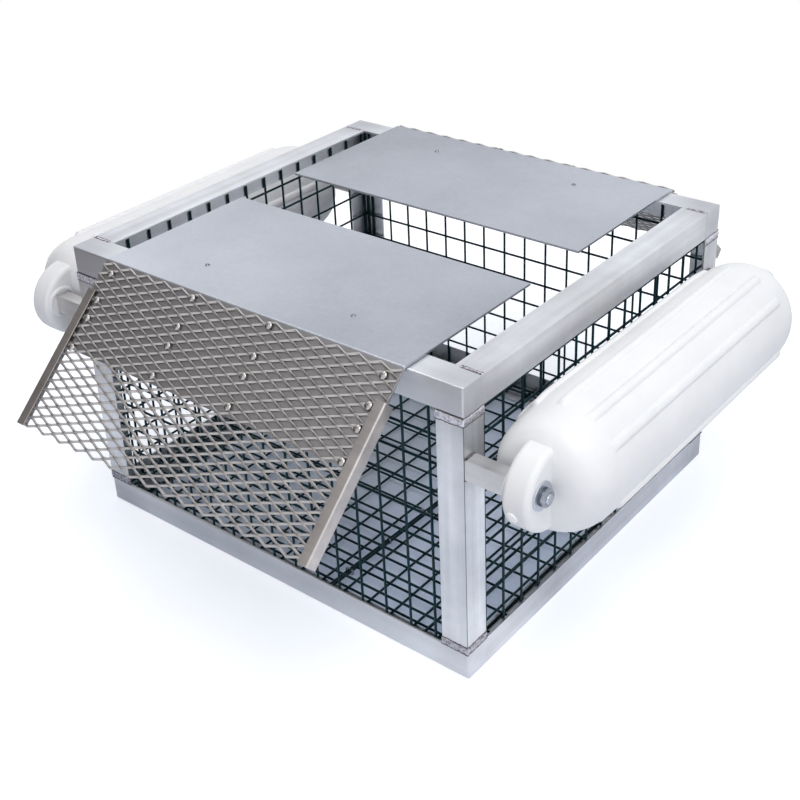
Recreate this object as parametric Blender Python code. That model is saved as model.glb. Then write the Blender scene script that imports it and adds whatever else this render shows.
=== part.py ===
"""Floating turtle basking trap.

An open-topped box frame of welded aluminium angle holds a wire mesh basket.
Two boards lie over the front and the back of the box. Each board rocks on two
pins below it, carries a climbing ramp of expanded metal outside the box, and
tips a turtle inward. A moulded fender on either side floats the trap.

The frame is X right along the front, Y to the back and Z up, with the origin
at the centre of the footprint on the ground. Sizes are in metres.
"""

import math

import bmesh
import bpy
from mathutils import Matrix, Vector
from mathutils.geometry import delaunay_2d_cdt

MM = 0.001
GAP = 0.3 * MM

# Frame of welded angle
WIDTH = 640 * MM
DEPTH = 593 * MM
HEIGHT = 406 * MM
LEG = 38 * MM
WALL = 3.2 * MM

# Basket of welded wire mesh
WIRE = 3 * MM
WIRE_PITCH = 38.4 * MM
PITCHES_PER_CELL = 2
FRONT_WIRES_FROM = (0.4 * MM, 60 * MM)
BACK_WIRES_FROM = (5 * MM, 53 * MM)
SIDE_WIRES_FROM = (-23.2 * MM, 54.5 * MM)
FLOOR_WIRES_FROM = (20 * MM, 10 * MM)

# Boards that rock on pins
BOARD_WALL = 3.2 * MM
BOARD_HALF_WIDTH = WIDTH / 2 - 75.7 * MM
BOARD_INNER_EDGE = 54.5 * MM
BOARD_FOLD = DEPTH / 2 + 2 * MM
BOARD_ABOVE_RAIL = 0.4 * MM
FOLD_RADIUS = 4.5 * MM
FOLD_STEPS = 4
APRON_LENGTH = 126 * MM
RAMP_SLOPE = math.radians(43)

# Expanded metal of the ramps
RAMP_START = 4 * MM
RAMP_LENGTH = 240 * MM
RAMP_THICKNESS = 3 * MM
RAMP_BORDER = 2.5 * MM
DIAMOND_LONG = 94.8 * MM
DIAMOND_SHORT = 38.7 * MM
STRAND = 4 * MM
SMALLEST_OPENING = 60 * MM * MM

# Angle trims on the ramps' sides
TRIM_START = 45 * MM
TRIM_END = 237 * MM
TRIM_WALL = 1.6 * MM
TRIM_OVERLAP = 14 * MM
TRIM_HANG = 18 * MM
TRIM_SIDE_GAP = 0.3 * MM

# Pivots below the boards
PIVOT_X = 122 * MM
PIVOT_Y = DEPTH / 2 - 56.5 * MM
PIVOT_Z = HEIGHT - 11 * MM
PIVOT_WIDTH = 22 * MM
PIVOT_HALF_DEPTH = 8 * MM
PIVOT_BELOW = 7 * MM
PIN_RADIUS = 3 * MM
PIN_HOLE_RADIUS = 3.09 * MM
PIN_HEAD_RADIUS = 4.6 * MM
PIN_HEAD = 1.8 * MM
PIN_PROUD = 1.5 * MM
PIN_SIDES = 16
FORK_WALL = 3.2 * MM
FORK_TIP = 14 * MM
FORK_BELOW = 7 * MM
FORK_TAIL = DEPTH / 2 - 8.5 * MM
FORK_SLOT = 12.5 * MM
TIP_LIMIT = math.radians(50)

# Fender arms and their fastenings
ARM_MIDDLE = -9 * MM
ARM_Y = DEPTH / 2 - 9.6 * MM + ARM_MIDDLE
ARM_Z = HEIGHT - 103 * MM
ARM_DEPTH = 19 * MM
ARM_HEIGHT = 27 * MM
STUD_RADIUS = 6.35 * MM
STUD_IN_ARM = 20 * MM
STUD_BEYOND_EYE = 11.4 * MM
STUD_SIDES = 16
STUD_CHAMFER = 1.2 * MM
WASHER_RADIUS = 17.2 * MM
WASHER_THICKNESS = 2.5 * MM
NUT_ACROSS_FLATS = 19 * MM
NUT_THICKNESS = 6.5 * MM

# Fenders
FENDER_Z = HEIGHT - 109 * MM
FENDER_RADIUS = 74 * MM
FENDER_OFF_FRAME = 2 * MM
FENDER_X = WIDTH / 2 + FENDER_OFF_FRAME + FENDER_RADIUS
RIB_PLACES = 12
FIRST_RIB = math.radians(36.2)
SMOOTH_PLACES = (5, 11)
RIB_HEIGHT = 3 * MM
RIB_HALF_WIDTH = 7 * MM
RIB_END = ARM_Y - 83.9 * MM
RIB_RUN_OUT = 8 * MM
SHOULDER_LENGTH = 65 * MM
SHOULDER_DEPTH = 45 * MM
SHOULDER_POWER = 2.8
SHOULDER_STEPS = 4
END_CROWN = 2 * MM
EYE_HALF_WIDTH = 17.5 * MM
EYE_INNER = FENDER_X - EYE_HALF_WIDTH
EYE_OUTER = FENDER_X + EYE_HALF_WIDTH
EYE_ROOT = ARM_Y - 61.9 * MM
EYE_CENTRE = ARM_Y - 28 * MM
EYE_REACH = 55.3 * MM
EYE_HALF_HEIGHT = 52.6 * MM
EYE_EDGE = 5 * MM
EYE_ARC_STEPS = 8
EYE_HOLE_RADIUS = 6.8 * MM

# Valve plug in the rim of one eye
VALVE_X = FENDER_X - 4 * MM
VALVE_ANGLE = math.radians(-19)
VALVE_RADIUS = 7.5 * MM
VALVE_DEPTH = 8 * MM
VALVE_PROUD = 1.5 * MM
VALVE_SIDES = 14
VALVE_EDGE = 0.8 * MM

SMOOTH_BELOW = math.radians(35)

BARE_ALUMINIUM = ((0.60, 0.61, 0.63), 1.0, 0.38)
MILL_SHEET = ((0.52, 0.53, 0.55), 1.0, 0.42)
COATED_WIRE = ((0.010, 0.022, 0.020), 0.0, 0.45)
ZINC = ((0.50, 0.52, 0.54), 1.0, 0.30)
WHITE_VINYL = ((0.84, 0.84, 0.83), 0.0, 0.35)

HALF_X = WIDTH / 2
HALF_Y = DEPTH / 2
BOARD_BOTTOM = HEIGHT + BOARD_ABOVE_RAIL
BOARD_TOP = BOARD_BOTTOM + BOARD_WALL
SIDES = (("left", -1), ("right", 1))
ENDS = (("front", -1), ("back", 1))


def clear_scene():
    for obj in list(bpy.data.objects):
        bpy.data.objects.remove(obj)


def make_material(name, look):
    colour, metallic, roughness = look
    material = bpy.data.materials.new(name)
    material.use_nodes = True
    shader = material.node_tree.nodes["Principled BSDF"]
    shader.inputs["Base Color"].default_value = (*colour, 1)
    shader.inputs["Metallic"].default_value = metallic
    shader.inputs["Roughness"].default_value = roughness
    material.diffuse_color = (*colour, 1)
    return material


def add_object(name, shape, look, origin=(0, 0, 0), smooth=False, helper=False):
    """Put a closed bmesh, given in scene coordinates, into the scene as one object."""
    bmesh.ops.recalc_face_normals(shape, faces=shape.faces)
    bmesh.ops.translate(shape, vec=-Vector(origin), verts=shape.verts)
    for face in shape.faces:
        face.smooth = smooth
    mesh = bpy.data.meshes.new(name)
    shape.to_mesh(mesh)
    shape.free()
    if smooth:
        mesh.set_sharp_from_angle(angle=SMOOTH_BELOW)
    obj = bpy.data.objects.new(name, mesh)
    obj.location = origin
    if helper:
        obj.hide_render = True
        obj.display_type = "WIRE"
    else:
        mesh.materials.append(make_material(name + "_surface", look))
    bpy.context.scene.collection.objects.link(obj)
    return obj


def frame_of(across, along, origin=(0, 0, 0)):
    """A matrix whose first two axes are the given ones and whose third is their cross product."""
    across = Vector(across).normalized()
    along = Vector(along).normalized()
    out = across.cross(along)
    place = Matrix((across, along, out)).transposed().to_4x4()
    place.translation = Vector(origin)
    return place


def mirrored(place, side):
    """The same placing, mirrored through the XZ plane for side 1, the back."""
    return Matrix.Diagonal((1, -side, 1, 1)) @ place


def sheet_with_holes(outline, holes, low, high, place):
    """A flat outline with holes through it, between two heights along the placing's third axis."""
    loops = [outline, *holes]
    points = [Vector(point) for loop in loops for point in loop]
    rings = []
    start = 0
    for loop in loops:
        rings.append(list(range(start, start + len(loop))))
        start += len(loop)
    edges = [pair for ring in rings for pair in zip(ring, ring[1:] + ring[:1])]
    flat, _, faces, _, _, _ = delaunay_2d_cdt(points, edges, [rings[0]], 1, 1e-7)
    shape = bmesh.new()
    lower = [shape.verts.new(place @ Vector((*point, low))) for point in flat]
    upper = [shape.verts.new(place @ Vector((*point, high))) for point in flat]
    border = {}
    for face in faces:
        middle = sum((flat[index] for index in face), Vector((0, 0))) / len(face)
        if any(inside(middle, hole) for hole in holes):
            continue
        shape.faces.new([upper[index] for index in face])
        shape.faces.new([lower[index] for index in reversed(face)])
        for pair in zip(face, face[1:] + face[:1]):
            key = tuple(sorted(pair))
            border[key] = None if key in border else pair
    for pair in filter(None, border.values()):
        first, second = pair
        shape.faces.new((upper[second], upper[first], lower[first], lower[second]))
    loose = [vert for vert in shape.verts if not vert.link_faces]
    bmesh.ops.delete(shape, geom=loose, context="VERTS")
    return shape


def inside(point, loop):
    """Whether a point lies inside a convex loop."""
    turns = [
        (Vector(b) - Vector(a)).cross(point - Vector(a))
        for a, b in zip(loop, loop[1:] + loop[:1])
    ]
    return all(turn > 0 for turn in turns) or all(turn < 0 for turn in turns)


def circle(radius, sides, centre=(0, 0)):
    return [
        (
            centre[0] + radius * math.cos(math.tau * (step + 0.5) / sides),
            centre[1] + radius * math.sin(math.tau * (step + 0.5) / sides),
        )
        for step in range(sides)
    ]


def rectangle(low_u, high_u, low_v, high_v):
    return [(low_u, low_v), (high_u, low_v), (high_u, high_v), (low_u, high_v)]


def box(low, high):
    outline = rectangle(low[0], high[0], low[1], high[1])
    return sheet_with_holes(outline, [], low[2], high[2], Matrix.Identity(4))


def turned(profile, sides, place):
    """A solid of revolution about the placing's third axis, from (radius, height) pairs."""
    shape = bmesh.new()
    rings = []
    for radius, height in profile:
        rings.append(
            [
                shape.verts.new(place @ Vector((*point, height)))
                for point in circle(radius, sides)
            ]
        )
    for below, above in zip(rings, rings[1:]):
        for step in range(sides):
            after = (step + 1) % sides
            shape.faces.new((below[step], below[after], above[after], above[step]))
    shape.faces.new(list(reversed(rings[0])))
    shape.faces.new(rings[-1])
    return shape


def apply_boolean(obj, other, operation):
    modifier = obj.modifiers.new(operation.lower() + "_" + other.name, "BOOLEAN")
    modifier.operation = operation
    modifier.solver = "EXACT"
    modifier.object = other


def prism_along_x(outline, low_x, high_x, holes=()):
    """An outline in the YZ plane, extruded along X."""
    place = frame_of((0, 1, 0), (0, 0, 1))
    return sheet_with_holes(outline, list(holes), low_x, high_x, place)


def build_posts():
    """Four angle posts between the top and the bottom rails, both outer faces in the frame's faces."""
    for end, y_side in ENDS:
        for side, x_side in SIDES:
            corner = [
                (0, 0),
                (-LEG, 0),
                (-LEG, -WALL),
                (-WALL, -WALL),
                (-WALL, -LEG),
                (0, -LEG),
            ]
            outline = [
                (x_side * (HALF_X + u), y_side * (HALF_Y + v)) for u, v in corner
            ]
            shape = sheet_with_holes(
                outline, [], LEG + GAP, HEIGHT - LEG - GAP, Matrix.Identity(4)
            )
            add_object(f"post_{end}_{side}", shape, BARE_ALUMINIUM)


def build_end_rail(name, y_side, upper):
    """Front and back rails: an angle between the upright legs of the side rails."""
    face_z = HEIGHT if upper else 0
    inward = -1 if upper else 1
    corner = [(0, 0), (-LEG, 0), (-LEG, WALL), (-WALL, WALL), (-WALL, LEG), (0, LEG)]
    outline = [(y_side * (HALF_Y + u), face_z + inward * v) for u, v in corner]
    half = HALF_X - WALL - GAP
    add_object(name, prism_along_x(outline, -half, half), BARE_ALUMINIUM)


def build_side_rail(name, x_side, upper):
    """Side rails: the upright leg runs the whole depth, and the flat leg stops at the end rails."""
    face_z = HEIGHT if upper else 0
    inward = -1 if upper else 1
    short = HALF_Y - LEG - GAP
    plan = [
        (HALF_X, -HALF_Y),
        (HALF_X, HALF_Y),
        (HALF_X - WALL, HALF_Y),
        (HALF_X - WALL, short),
        (HALF_X - LEG, short),
        (HALF_X - LEG, -short),
        (HALF_X - WALL, -short),
        (HALF_X - WALL, -HALF_Y),
    ]
    shape = bmesh.new()
    levels = []
    for depth in (0, WALL, LEG):
        z = face_z + inward * depth
        levels.append([shape.verts.new((x_side * x, y, z)) for x, y in plan])
    face, under, foot = levels
    shape.faces.new(face)
    for step in range(len(plan)):
        after = (step + 1) % len(plan)
        shape.faces.new((face[step], face[after], under[after], under[step]))
    shape.faces.new(under[3:7])
    shape.faces.new((under[0], under[1], foot[1], foot[0]))
    shape.faces.new((under[1], under[2], foot[2], foot[1]))
    shape.faces.new((under[2], under[3], under[6], under[7], foot[7], foot[2]))
    shape.faces.new((under[7], under[0], foot[0], foot[7]))
    shape.faces.new((foot[0], foot[1], foot[2], foot[7]))
    bmesh.ops.delete(shape, geom=foot[3:7], context="VERTS")
    add_object(name, shape, BARE_ALUMINIUM)


def build_frame():
    for level, upper in (("top", True), ("bottom", False)):
        for end, y_side in ENDS:
            build_end_rail(f"rail_{level}_{end}", y_side, upper)
        for side, x_side in SIDES:
            build_side_rail(f"rail_{level}_{side}", x_side, upper)
    build_posts()


def wire_lines(low, high, one_wire):
    """Centres of the wires between two edge wires, in whole cells from one known wire."""
    cell = PITCHES_PER_CELL * WIRE_PITCH
    first = one_wire + math.ceil((low + cell / 3 - one_wire) / cell) * cell
    lines = [low + WIRE / 2]
    while first < high - cell / 3:
        lines.append(first)
        first += cell
    return [*lines, high - WIRE / 2]


def mesh_panel(name, low, high, one_wire, place):
    """A flat grid of wires. The front and back faces lie a wire's thickness apart."""
    across = wire_lines(low[0], high[0], one_wire[0])
    along = wire_lines(low[1], high[1], one_wire[1])
    half = WIRE / 2
    holes = [
        rectangle(left + half, right - half, below + half, above - half)
        for left, right in zip(across, across[1:])
        for below, above in zip(along, along[1:])
    ]
    outline = rectangle(low[0], high[0], low[1], high[1])
    shape = sheet_with_holes(outline, holes, 0, WIRE, place)
    add_object(name, shape, COATED_WIRE)


def build_basket():
    floor_z = WALL + GAP
    low_z = floor_z + WIRE + GAP
    high_z = HEIGHT - WALL - GAP
    wall_x = HALF_X - WALL - GAP
    wall_y = HALF_Y - WALL - GAP
    half_x = wall_x - WIRE - GAP
    half_y = wall_y - WIRE - GAP
    mesh_panel(
        "mesh_floor",
        (-half_x, -half_y),
        (half_x, half_y),
        FLOOR_WIRES_FROM,
        frame_of((1, 0, 0), (0, 1, 0), (0, 0, floor_z)),
    )
    mesh_panel(
        "mesh_front",
        (-half_x, low_z),
        (half_x, high_z),
        FRONT_WIRES_FROM,
        frame_of((1, 0, 0), (0, 0, 1), (0, WIRE - wall_y, 0)),
    )
    mesh_panel(
        "mesh_back",
        (-half_x, low_z),
        (half_x, high_z),
        BACK_WIRES_FROM,
        frame_of((1, 0, 0), (0, 0, 1), (0, wall_y, 0)),
    )
    mesh_panel(
        "mesh_left",
        (-half_y, low_z),
        (half_y, high_z),
        SIDE_WIRES_FROM,
        frame_of((0, 1, 0), (0, 0, 1), (-wall_x, 0, 0)),
    )
    mesh_panel(
        "mesh_right",
        (-half_y, low_z),
        (half_y, high_z),
        SIDE_WIRES_FROM,
        frame_of((0, 1, 0), (0, 0, 1), (wall_x - WIRE, 0, 0)),
    )


def board_outline():
    """The bent sheet's section for the front, as (y, z), from the inner edge out and down the apron."""
    down = Vector((-math.cos(RAMP_SLOPE), -math.sin(RAMP_SLOPE)))
    out = Vector((-math.sin(RAMP_SLOPE), math.cos(RAMP_SLOPE)))
    fold = Vector((-BOARD_FOLD, BOARD_TOP))
    setback = FOLD_RADIUS * math.tan(RAMP_SLOPE / 2)
    centre = fold + Vector((setback, -FOLD_RADIUS))
    outer = [Vector((-BOARD_INNER_EDGE, BOARD_TOP))]
    inner = [Vector((-BOARD_INNER_EDGE, BOARD_BOTTOM))]
    for step in range(FOLD_STEPS + 1):
        angle = math.pi / 2 + RAMP_SLOPE * step / FOLD_STEPS
        ray = Vector((math.cos(angle), math.sin(angle)))
        outer.append(centre + ray * FOLD_RADIUS)
        inner.append(centre + ray * (FOLD_RADIUS - BOARD_WALL))
    tip = fold + down * APRON_LENGTH
    outer.append(tip)
    inner.append(tip - out * BOARD_WALL)
    return [tuple(point) for point in outer + inner[::-1]]


def ramp_place(y_side):
    """Placing for things on the ramp: across, up the slope from its foot, and off its face."""
    slope_up = (0, math.cos(RAMP_SLOPE), math.sin(RAMP_SLOPE))
    place = frame_of((1, 0, 0), slope_up, (0, -BOARD_FOLD, BOARD_TOP))
    return mirrored(place, y_side)


def clipped(loop, low_u, high_u, low_v, high_v):
    """A convex loop cut back to a rectangle."""
    for axis, limit, sign in (
        (0, low_u, 1),
        (0, high_u, -1),
        (1, low_v, 1),
        (1, high_v, -1),
    ):
        kept = []
        for a, b in zip(loop, loop[1:] + loop[:1]):
            a_in = sign * (a[axis] - limit)
            b_in = sign * (b[axis] - limit)
            if a_in >= 0:
                kept.append(a)
            if a_in * b_in < 0:
                share = a_in / (a_in - b_in)
                kept.append(tuple(p + (q - p) * share for p, q in zip(a, b)))
        loop = kept
    return loop


def area(loop):
    return abs(
        sum(a[0] * b[1] - b[0] * a[1] for a, b in zip(loop, loop[1:] + loop[:1])) / 2
    )


def diamond_openings(half_width, low_v, high_v):
    """Openings of the expanded metal, long way across, cut back to a border of solid metal."""
    half_long = DIAMOND_LONG / 2
    half_short = DIAMOND_SHORT / 2
    shrink = 1 - STRAND / 2 * math.hypot(half_long, half_short) / (
        half_long * half_short
    )
    corners = ((half_long, 0), (0, half_short), (-half_long, 0), (0, -half_short))
    columns = math.ceil(half_width / half_long) + 1
    rows = math.ceil((high_v - low_v) / half_short) + 1
    openings = []
    for row in range(rows + 1):
        for column in range(-columns, columns + 1):
            if (row + column) % 2:
                continue
            centre = (column * half_long, low_v + row * half_short)
            diamond = [(centre[0] + u * shrink, centre[1] + v * shrink) for u, v in corners]
            border = half_width - RAMP_BORDER
            loop = clipped(
                diamond, -border, border, low_v + RAMP_BORDER, high_v - RAMP_BORDER
            )
            if len(loop) >= 3 and area(loop) > SMALLEST_OPENING:
                openings.append(loop)
    return openings


def build_board(end, y_side):
    """A board with its apron, the expanded metal ramp on the apron, and the ramp's trims."""
    hinge = (0, y_side * PIVOT_Y, PIVOT_Z)
    outline = [(-y_side * y, z) for y, z in board_outline()]
    shape = prism_along_x(outline, -BOARD_HALF_WIDTH, BOARD_HALF_WIDTH)
    add_object(f"deck_{end}", shape, MILL_SHEET, hinge)
    place = ramp_place(y_side)
    holes = diamond_openings(BOARD_HALF_WIDTH, -RAMP_LENGTH, -RAMP_START)
    outline = rectangle(
        -BOARD_HALF_WIDTH, BOARD_HALF_WIDTH, -RAMP_LENGTH, -RAMP_START
    )
    shape = sheet_with_holes(outline, holes, GAP, GAP + RAMP_THICKNESS, place)
    add_object(f"ramp_{end}", shape, MILL_SHEET, hinge)
    trim_low = RAMP_THICKNESS + 2 * GAP
    trim_high = trim_low + TRIM_WALL
    leg_inner = BOARD_HALF_WIDTH + TRIM_SIDE_GAP
    leg_outer = leg_inner + TRIM_WALL
    section = [
        (leg_outer, trim_high),
        (leg_outer - TRIM_OVERLAP, trim_high),
        (leg_outer - TRIM_OVERLAP, trim_low),
        (leg_inner, trim_low),
        (leg_inner, trim_high - TRIM_HANG),
        (leg_outer, trim_high - TRIM_HANG),
    ]
    # Seen along the slope, the section's axes are across and off the ramp's face.
    turn = Matrix(((1, 0, 0, 0), (0, 0, 1, 0), (0, 1, 0, 0), (0, 0, 0, 1)))
    for side, x_side in SIDES:
        outline = [(x_side * u, v) for u, v in section]
        shape = sheet_with_holes(outline, [], -TRIM_END, -TRIM_START, place @ turn)
        add_object(f"trim_{end}_{side}", shape, BARE_ALUMINIUM, hinge)


def build_pivots(end, y_side):
    """Pivot block, pin and fork bracket below each screw of a board."""
    hinge = (0, y_side * PIVOT_Y, PIVOT_Z)
    hole = circle(PIN_HOLE_RADIUS, PIN_SIDES, (y_side * PIVOT_Y, PIVOT_Z))
    block = rectangle(
        y_side * PIVOT_Y - PIVOT_HALF_DEPTH,
        y_side * PIVOT_Y + PIVOT_HALF_DEPTH,
        PIVOT_Z - PIVOT_BELOW,
        BOARD_BOTTOM - GAP,
    )
    # The fork's tips are cut to lie along the board's underside when it is tipped to its limit.
    underside = BOARD_BOTTOM - PIVOT_Z - GAP
    fork_top = HEIGHT - WALL - GAP - PIVOT_Z
    tip_rise = (underside - FORK_TIP * math.sin(TIP_LIMIT)) / math.cos(TIP_LIMIT)
    tip_back = (fork_top - tip_rise) / math.tan(TIP_LIMIT)
    fork = [
        (PIVOT_Y - FORK_TIP, -FORK_BELOW),
        (FORK_TAIL, -FORK_BELOW),
        (FORK_TAIL, fork_top),
        (PIVOT_Y - FORK_TIP + tip_back, fork_top),
        (PIVOT_Y - FORK_TIP, tip_rise),
    ]
    fork = [(y_side * y, PIVOT_Z + z) for y, z in fork]
    slot_half = PIVOT_WIDTH / 2 + GAP
    fork_half = slot_half + FORK_WALL
    slot_low, slot_high = sorted(
        (y_side * (PIVOT_Y + FORK_SLOT), y_side * (PIVOT_Y - 2 * FORK_TIP))
    )
    for side, x_side in SIDES:
        centre = x_side * PIVOT_X
        label = f"{end}_{side}"
        shape = prism_along_x(
            block, centre - PIVOT_WIDTH / 2, centre + PIVOT_WIDTH / 2, [hole]
        )
        add_object(f"pivot_{label}", shape, BARE_ALUMINIUM, hinge)
        slot = box(
            (centre - slot_half, slot_low, PIVOT_Z - 2 * FORK_TIP),
            (centre + slot_half, slot_high, PIVOT_Z + 2 * FORK_TIP),
        )
        cutter = add_object(f"fork_slot_{label}", slot, None, helper=True)
        shape = prism_along_x(fork, centre - fork_half, centre + fork_half, [hole])
        bracket = add_object(f"fork_{label}", shape, BARE_ALUMINIUM)
        apply_boolean(bracket, cutter, "DIFFERENCE")
        profile = [
            (PIN_HEAD_RADIUS, -fork_half - GAP - PIN_HEAD),
            (PIN_HEAD_RADIUS, -fork_half - GAP),
            (PIN_RADIUS, -fork_half - GAP),
            (PIN_RADIUS, fork_half + PIN_PROUD),
        ]
        place = frame_of((0, 1, 0), (0, 0, 1), (centre, y_side * PIVOT_Y, PIVOT_Z))
        add_object(f"pin_{label}", turned(profile, PIN_SIDES, place), ZINC, smooth=True)


def fender_ring(y, radius, rib):
    """One section of the fender: three points to a rib, the middle one raised.

    Two places face the frame and the water, and carry no rib.
    """
    points = []
    half_turn = RIB_HALF_WIDTH / FENDER_RADIUS
    for index in range(RIB_PLACES):
        middle = FIRST_RIB + math.tau * index / RIB_PLACES
        corners = [(-half_turn, 0), (half_turn, 0)]
        if index not in SMOOTH_PLACES:
            corners.insert(1, (0, rib))
        for turn, rise in corners:
            reach = radius + rise
            angle = middle + turn
            points.append((reach * math.cos(angle), y, reach * math.sin(angle)))
    return points


def shoulder_radius(out):
    """The barrel's radius a distance past its straight part, where it rounds off."""
    share = out / SHOULDER_LENGTH
    drop = 1 - (1 - share**SHOULDER_POWER) ** (1 / SHOULDER_POWER)
    return FENDER_RADIUS - SHOULDER_DEPTH * drop


def fender_body():
    """The fender's barrel with lengthwise ribs and a rounded end each way, about its own middle."""
    half = [
        (RIB_END, FENDER_RADIUS, RIB_HEIGHT),
        (RIB_END + RIB_RUN_OUT, shoulder_radius(RIB_RUN_OUT), 0),
    ]
    for step in range(1, SHOULDER_STEPS + 1):
        out = SHOULDER_LENGTH * (1 - (1 - step / SHOULDER_STEPS) ** 2)
        half.append((RIB_END + out, shoulder_radius(out), 0))
    stations = [(-y, radius, rib) for y, radius, rib in reversed(half)] + half
    shape = bmesh.new()
    rings = []
    for y, radius, rib in stations:
        rings.append([shape.verts.new(point) for point in fender_ring(y, radius, rib)])
    count = len(rings[0])
    end_y = RIB_END + SHOULDER_LENGTH + END_CROWN
    for near, far in zip(rings, rings[1:]):
        for step in range(count):
            after = (step + 1) % count
            shape.faces.new((near[step], near[after], far[after], far[step]))
    for ring, y_side in ((rings[0], -1), (rings[-1], 1)):
        pole = shape.verts.new((0, y_side * end_y, 0))
        for step in range(count):
            shape.faces.new((ring[step], ring[(step + 1) % count], pole))
    return shape


def eye_rim(turn):
    """A point on the rim of a fender's eye, as distances out along the fender and up."""
    return Vector(
        (
            EYE_CENTRE + EYE_REACH * math.cos(turn),
            EYE_HALF_HEIGHT * math.sin(turn),
        )
    )


def eye_outline(y_side):
    """Side view of a fender's eye: straight from its root, then a half round end."""
    points = [(EYE_ROOT, EYE_HALF_HEIGHT), (EYE_ROOT, -EYE_HALF_HEIGHT)]
    for step in range(EYE_ARC_STEPS + 1):
        points.append(eye_rim(math.pi * (step / EYE_ARC_STEPS - 0.5)))
    return [(ARM_MIDDLE + y_side * y, FENDER_Z + z) for y, z in points]


def build_fender(side, x_side):
    """One fender with its two eyes, its bolt holes and the socket of its valve plug."""
    shape = fender_body()
    if x_side < 0:
        # The left fender is the right one, turned half round.
        half_round = Matrix.Rotation(math.pi, 3, "Z")
        bmesh.ops.rotate(shape, matrix=half_round, verts=shape.verts)
    bmesh.ops.translate(
        shape, vec=(x_side * FENDER_X, ARM_MIDDLE, FENDER_Z), verts=shape.verts
    )
    fender = add_object(f"fender_{side}", shape, WHITE_VINYL, smooth=True)
    low_x, high_x = sorted((x_side * EYE_INNER, x_side * EYE_OUTER))
    for end, y_side in ENDS:
        eye = prism_along_x(eye_outline(y_side), low_x, high_x)
        bmesh.ops.dissolve_limit(
            eye, angle_limit=0.01, verts=eye.verts[:], edges=eye.edges[:]
        )
        bmesh.ops.recalc_face_normals(eye, faces=eye.faces)
        rim = [
            edge
            for edge in eye.edges
            if abs(edge.verts[0].co.x - edge.verts[1].co.x) < GAP
            and edge.calc_face_angle(0) > 1
        ]
        bmesh.ops.bevel(
            eye,
            geom=rim,
            offset=EYE_EDGE,
            offset_type="OFFSET",
            segments=2,
            profile=0.5,
            affect="EDGES",
            material=-1,
        )
        lug = add_object(f"eye_{end}_{side}", eye, None, helper=True)
        apply_boolean(fender, lug, "UNION")
    for end, y_side in ENDS:
        hole_y = ARM_MIDDLE + y_side * ARM_Y
        place = frame_of((0, 1, 0), (0, 0, 1), (0, hole_y, ARM_Z))
        low, high = low_x - LEG, high_x + LEG
        drill = turned(
            [(EYE_HOLE_RADIUS, low), (EYE_HOLE_RADIUS, high)], STUD_SIDES, place
        )
        hole = add_object(f"eye_hole_{end}_{side}", drill, None, helper=True)
        apply_boolean(fender, hole, "DIFFERENCE")
    valve_end = -x_side
    socket = add_object(
        f"valve_socket_{side}",
        turned(
            [
                (VALVE_RADIUS + GAP, -VALVE_DEPTH - GAP),
                (VALVE_RADIUS + GAP, VALVE_DEPTH),
            ],
            VALVE_SIDES,
            valve_place(x_side, valve_end),
        ),
        None,
        helper=True,
    )
    apply_boolean(fender, socket, "DIFFERENCE")
    plug = turned(
        [
            (VALVE_RADIUS, -VALVE_DEPTH),
            (VALVE_RADIUS, VALVE_PROUD - VALVE_EDGE),
            (VALVE_RADIUS - VALVE_EDGE, VALVE_PROUD),
        ],
        VALVE_SIDES,
        valve_place(x_side, valve_end),
    )
    add_object(f"valve_{side}", plug, WHITE_VINYL, smooth=True)


def valve_place(x_side, y_side):
    """Placing of the valve plug: on the rim of the eye's round end, pointing straight off it."""
    off = Vector((0, y_side * math.cos(VALVE_ANGLE), math.sin(VALVE_ANGLE)))
    across = Vector((1, 0, 0))
    out, up = eye_rim(VALVE_ANGLE)
    seat = Vector((x_side * VALVE_X, ARM_MIDDLE + y_side * out, FENDER_Z + up))
    return frame_of(across, off.cross(across), seat)


def build_fastenings(end, y_side, side, x_side):
    """Arm on the post, the stud in its end, and the washer and nut outside the fender's eye."""
    label = f"{end}_{side}"
    arm_end = EYE_INNER - GAP
    low_x, high_x = sorted((x_side * (HALF_X + GAP), x_side * arm_end))
    middle = ARM_MIDDLE + y_side * ARM_Y
    arm = add_object(
        f"arm_{label}",
        box(
            (low_x, middle - ARM_DEPTH / 2, ARM_Z - ARM_HEIGHT / 2),
            (high_x, middle + ARM_DEPTH / 2, ARM_Z + ARM_HEIGHT / 2),
        ),
        BARE_ALUMINIUM,
    )
    outward = frame_of((0, x_side, 0), (0, 0, 1), (0, middle, ARM_Z))
    hole = STUD_RADIUS + GAP
    bottom = arm_end - STUD_IN_ARM
    top = EYE_OUTER + STUD_BEYOND_EYE
    cutter = add_object(
        f"arm_hole_{label}",
        turned([(hole, bottom - GAP), (hole, arm_end + LEG)], STUD_SIDES, outward),
        None,
        helper=True,
    )
    apply_boolean(arm, cutter, "DIFFERENCE")
    profile = [
        (STUD_RADIUS, bottom),
        (STUD_RADIUS, top - STUD_CHAMFER),
        (STUD_RADIUS - STUD_CHAMFER, top),
    ]
    add_object(f"stud_{label}", turned(profile, STUD_SIDES, outward), ZINC, smooth=True)
    washer_low = EYE_OUTER + GAP
    washer_high = washer_low + WASHER_THICKNESS
    washer = sheet_with_holes(
        circle(WASHER_RADIUS, 2 * STUD_SIDES),
        [circle(hole, STUD_SIDES)],
        washer_low,
        washer_high,
        outward,
    )
    add_object(f"washer_{label}", washer, ZINC, smooth=True)
    nut_low = washer_high + GAP
    nut = sheet_with_holes(
        circle(NUT_ACROSS_FLATS / math.sqrt(3), 6),
        [circle(hole, STUD_SIDES)],
        nut_low,
        nut_low + NUT_THICKNESS,
        outward,
    )
    add_object(f"nut_{label}", nut, ZINC)


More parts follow.
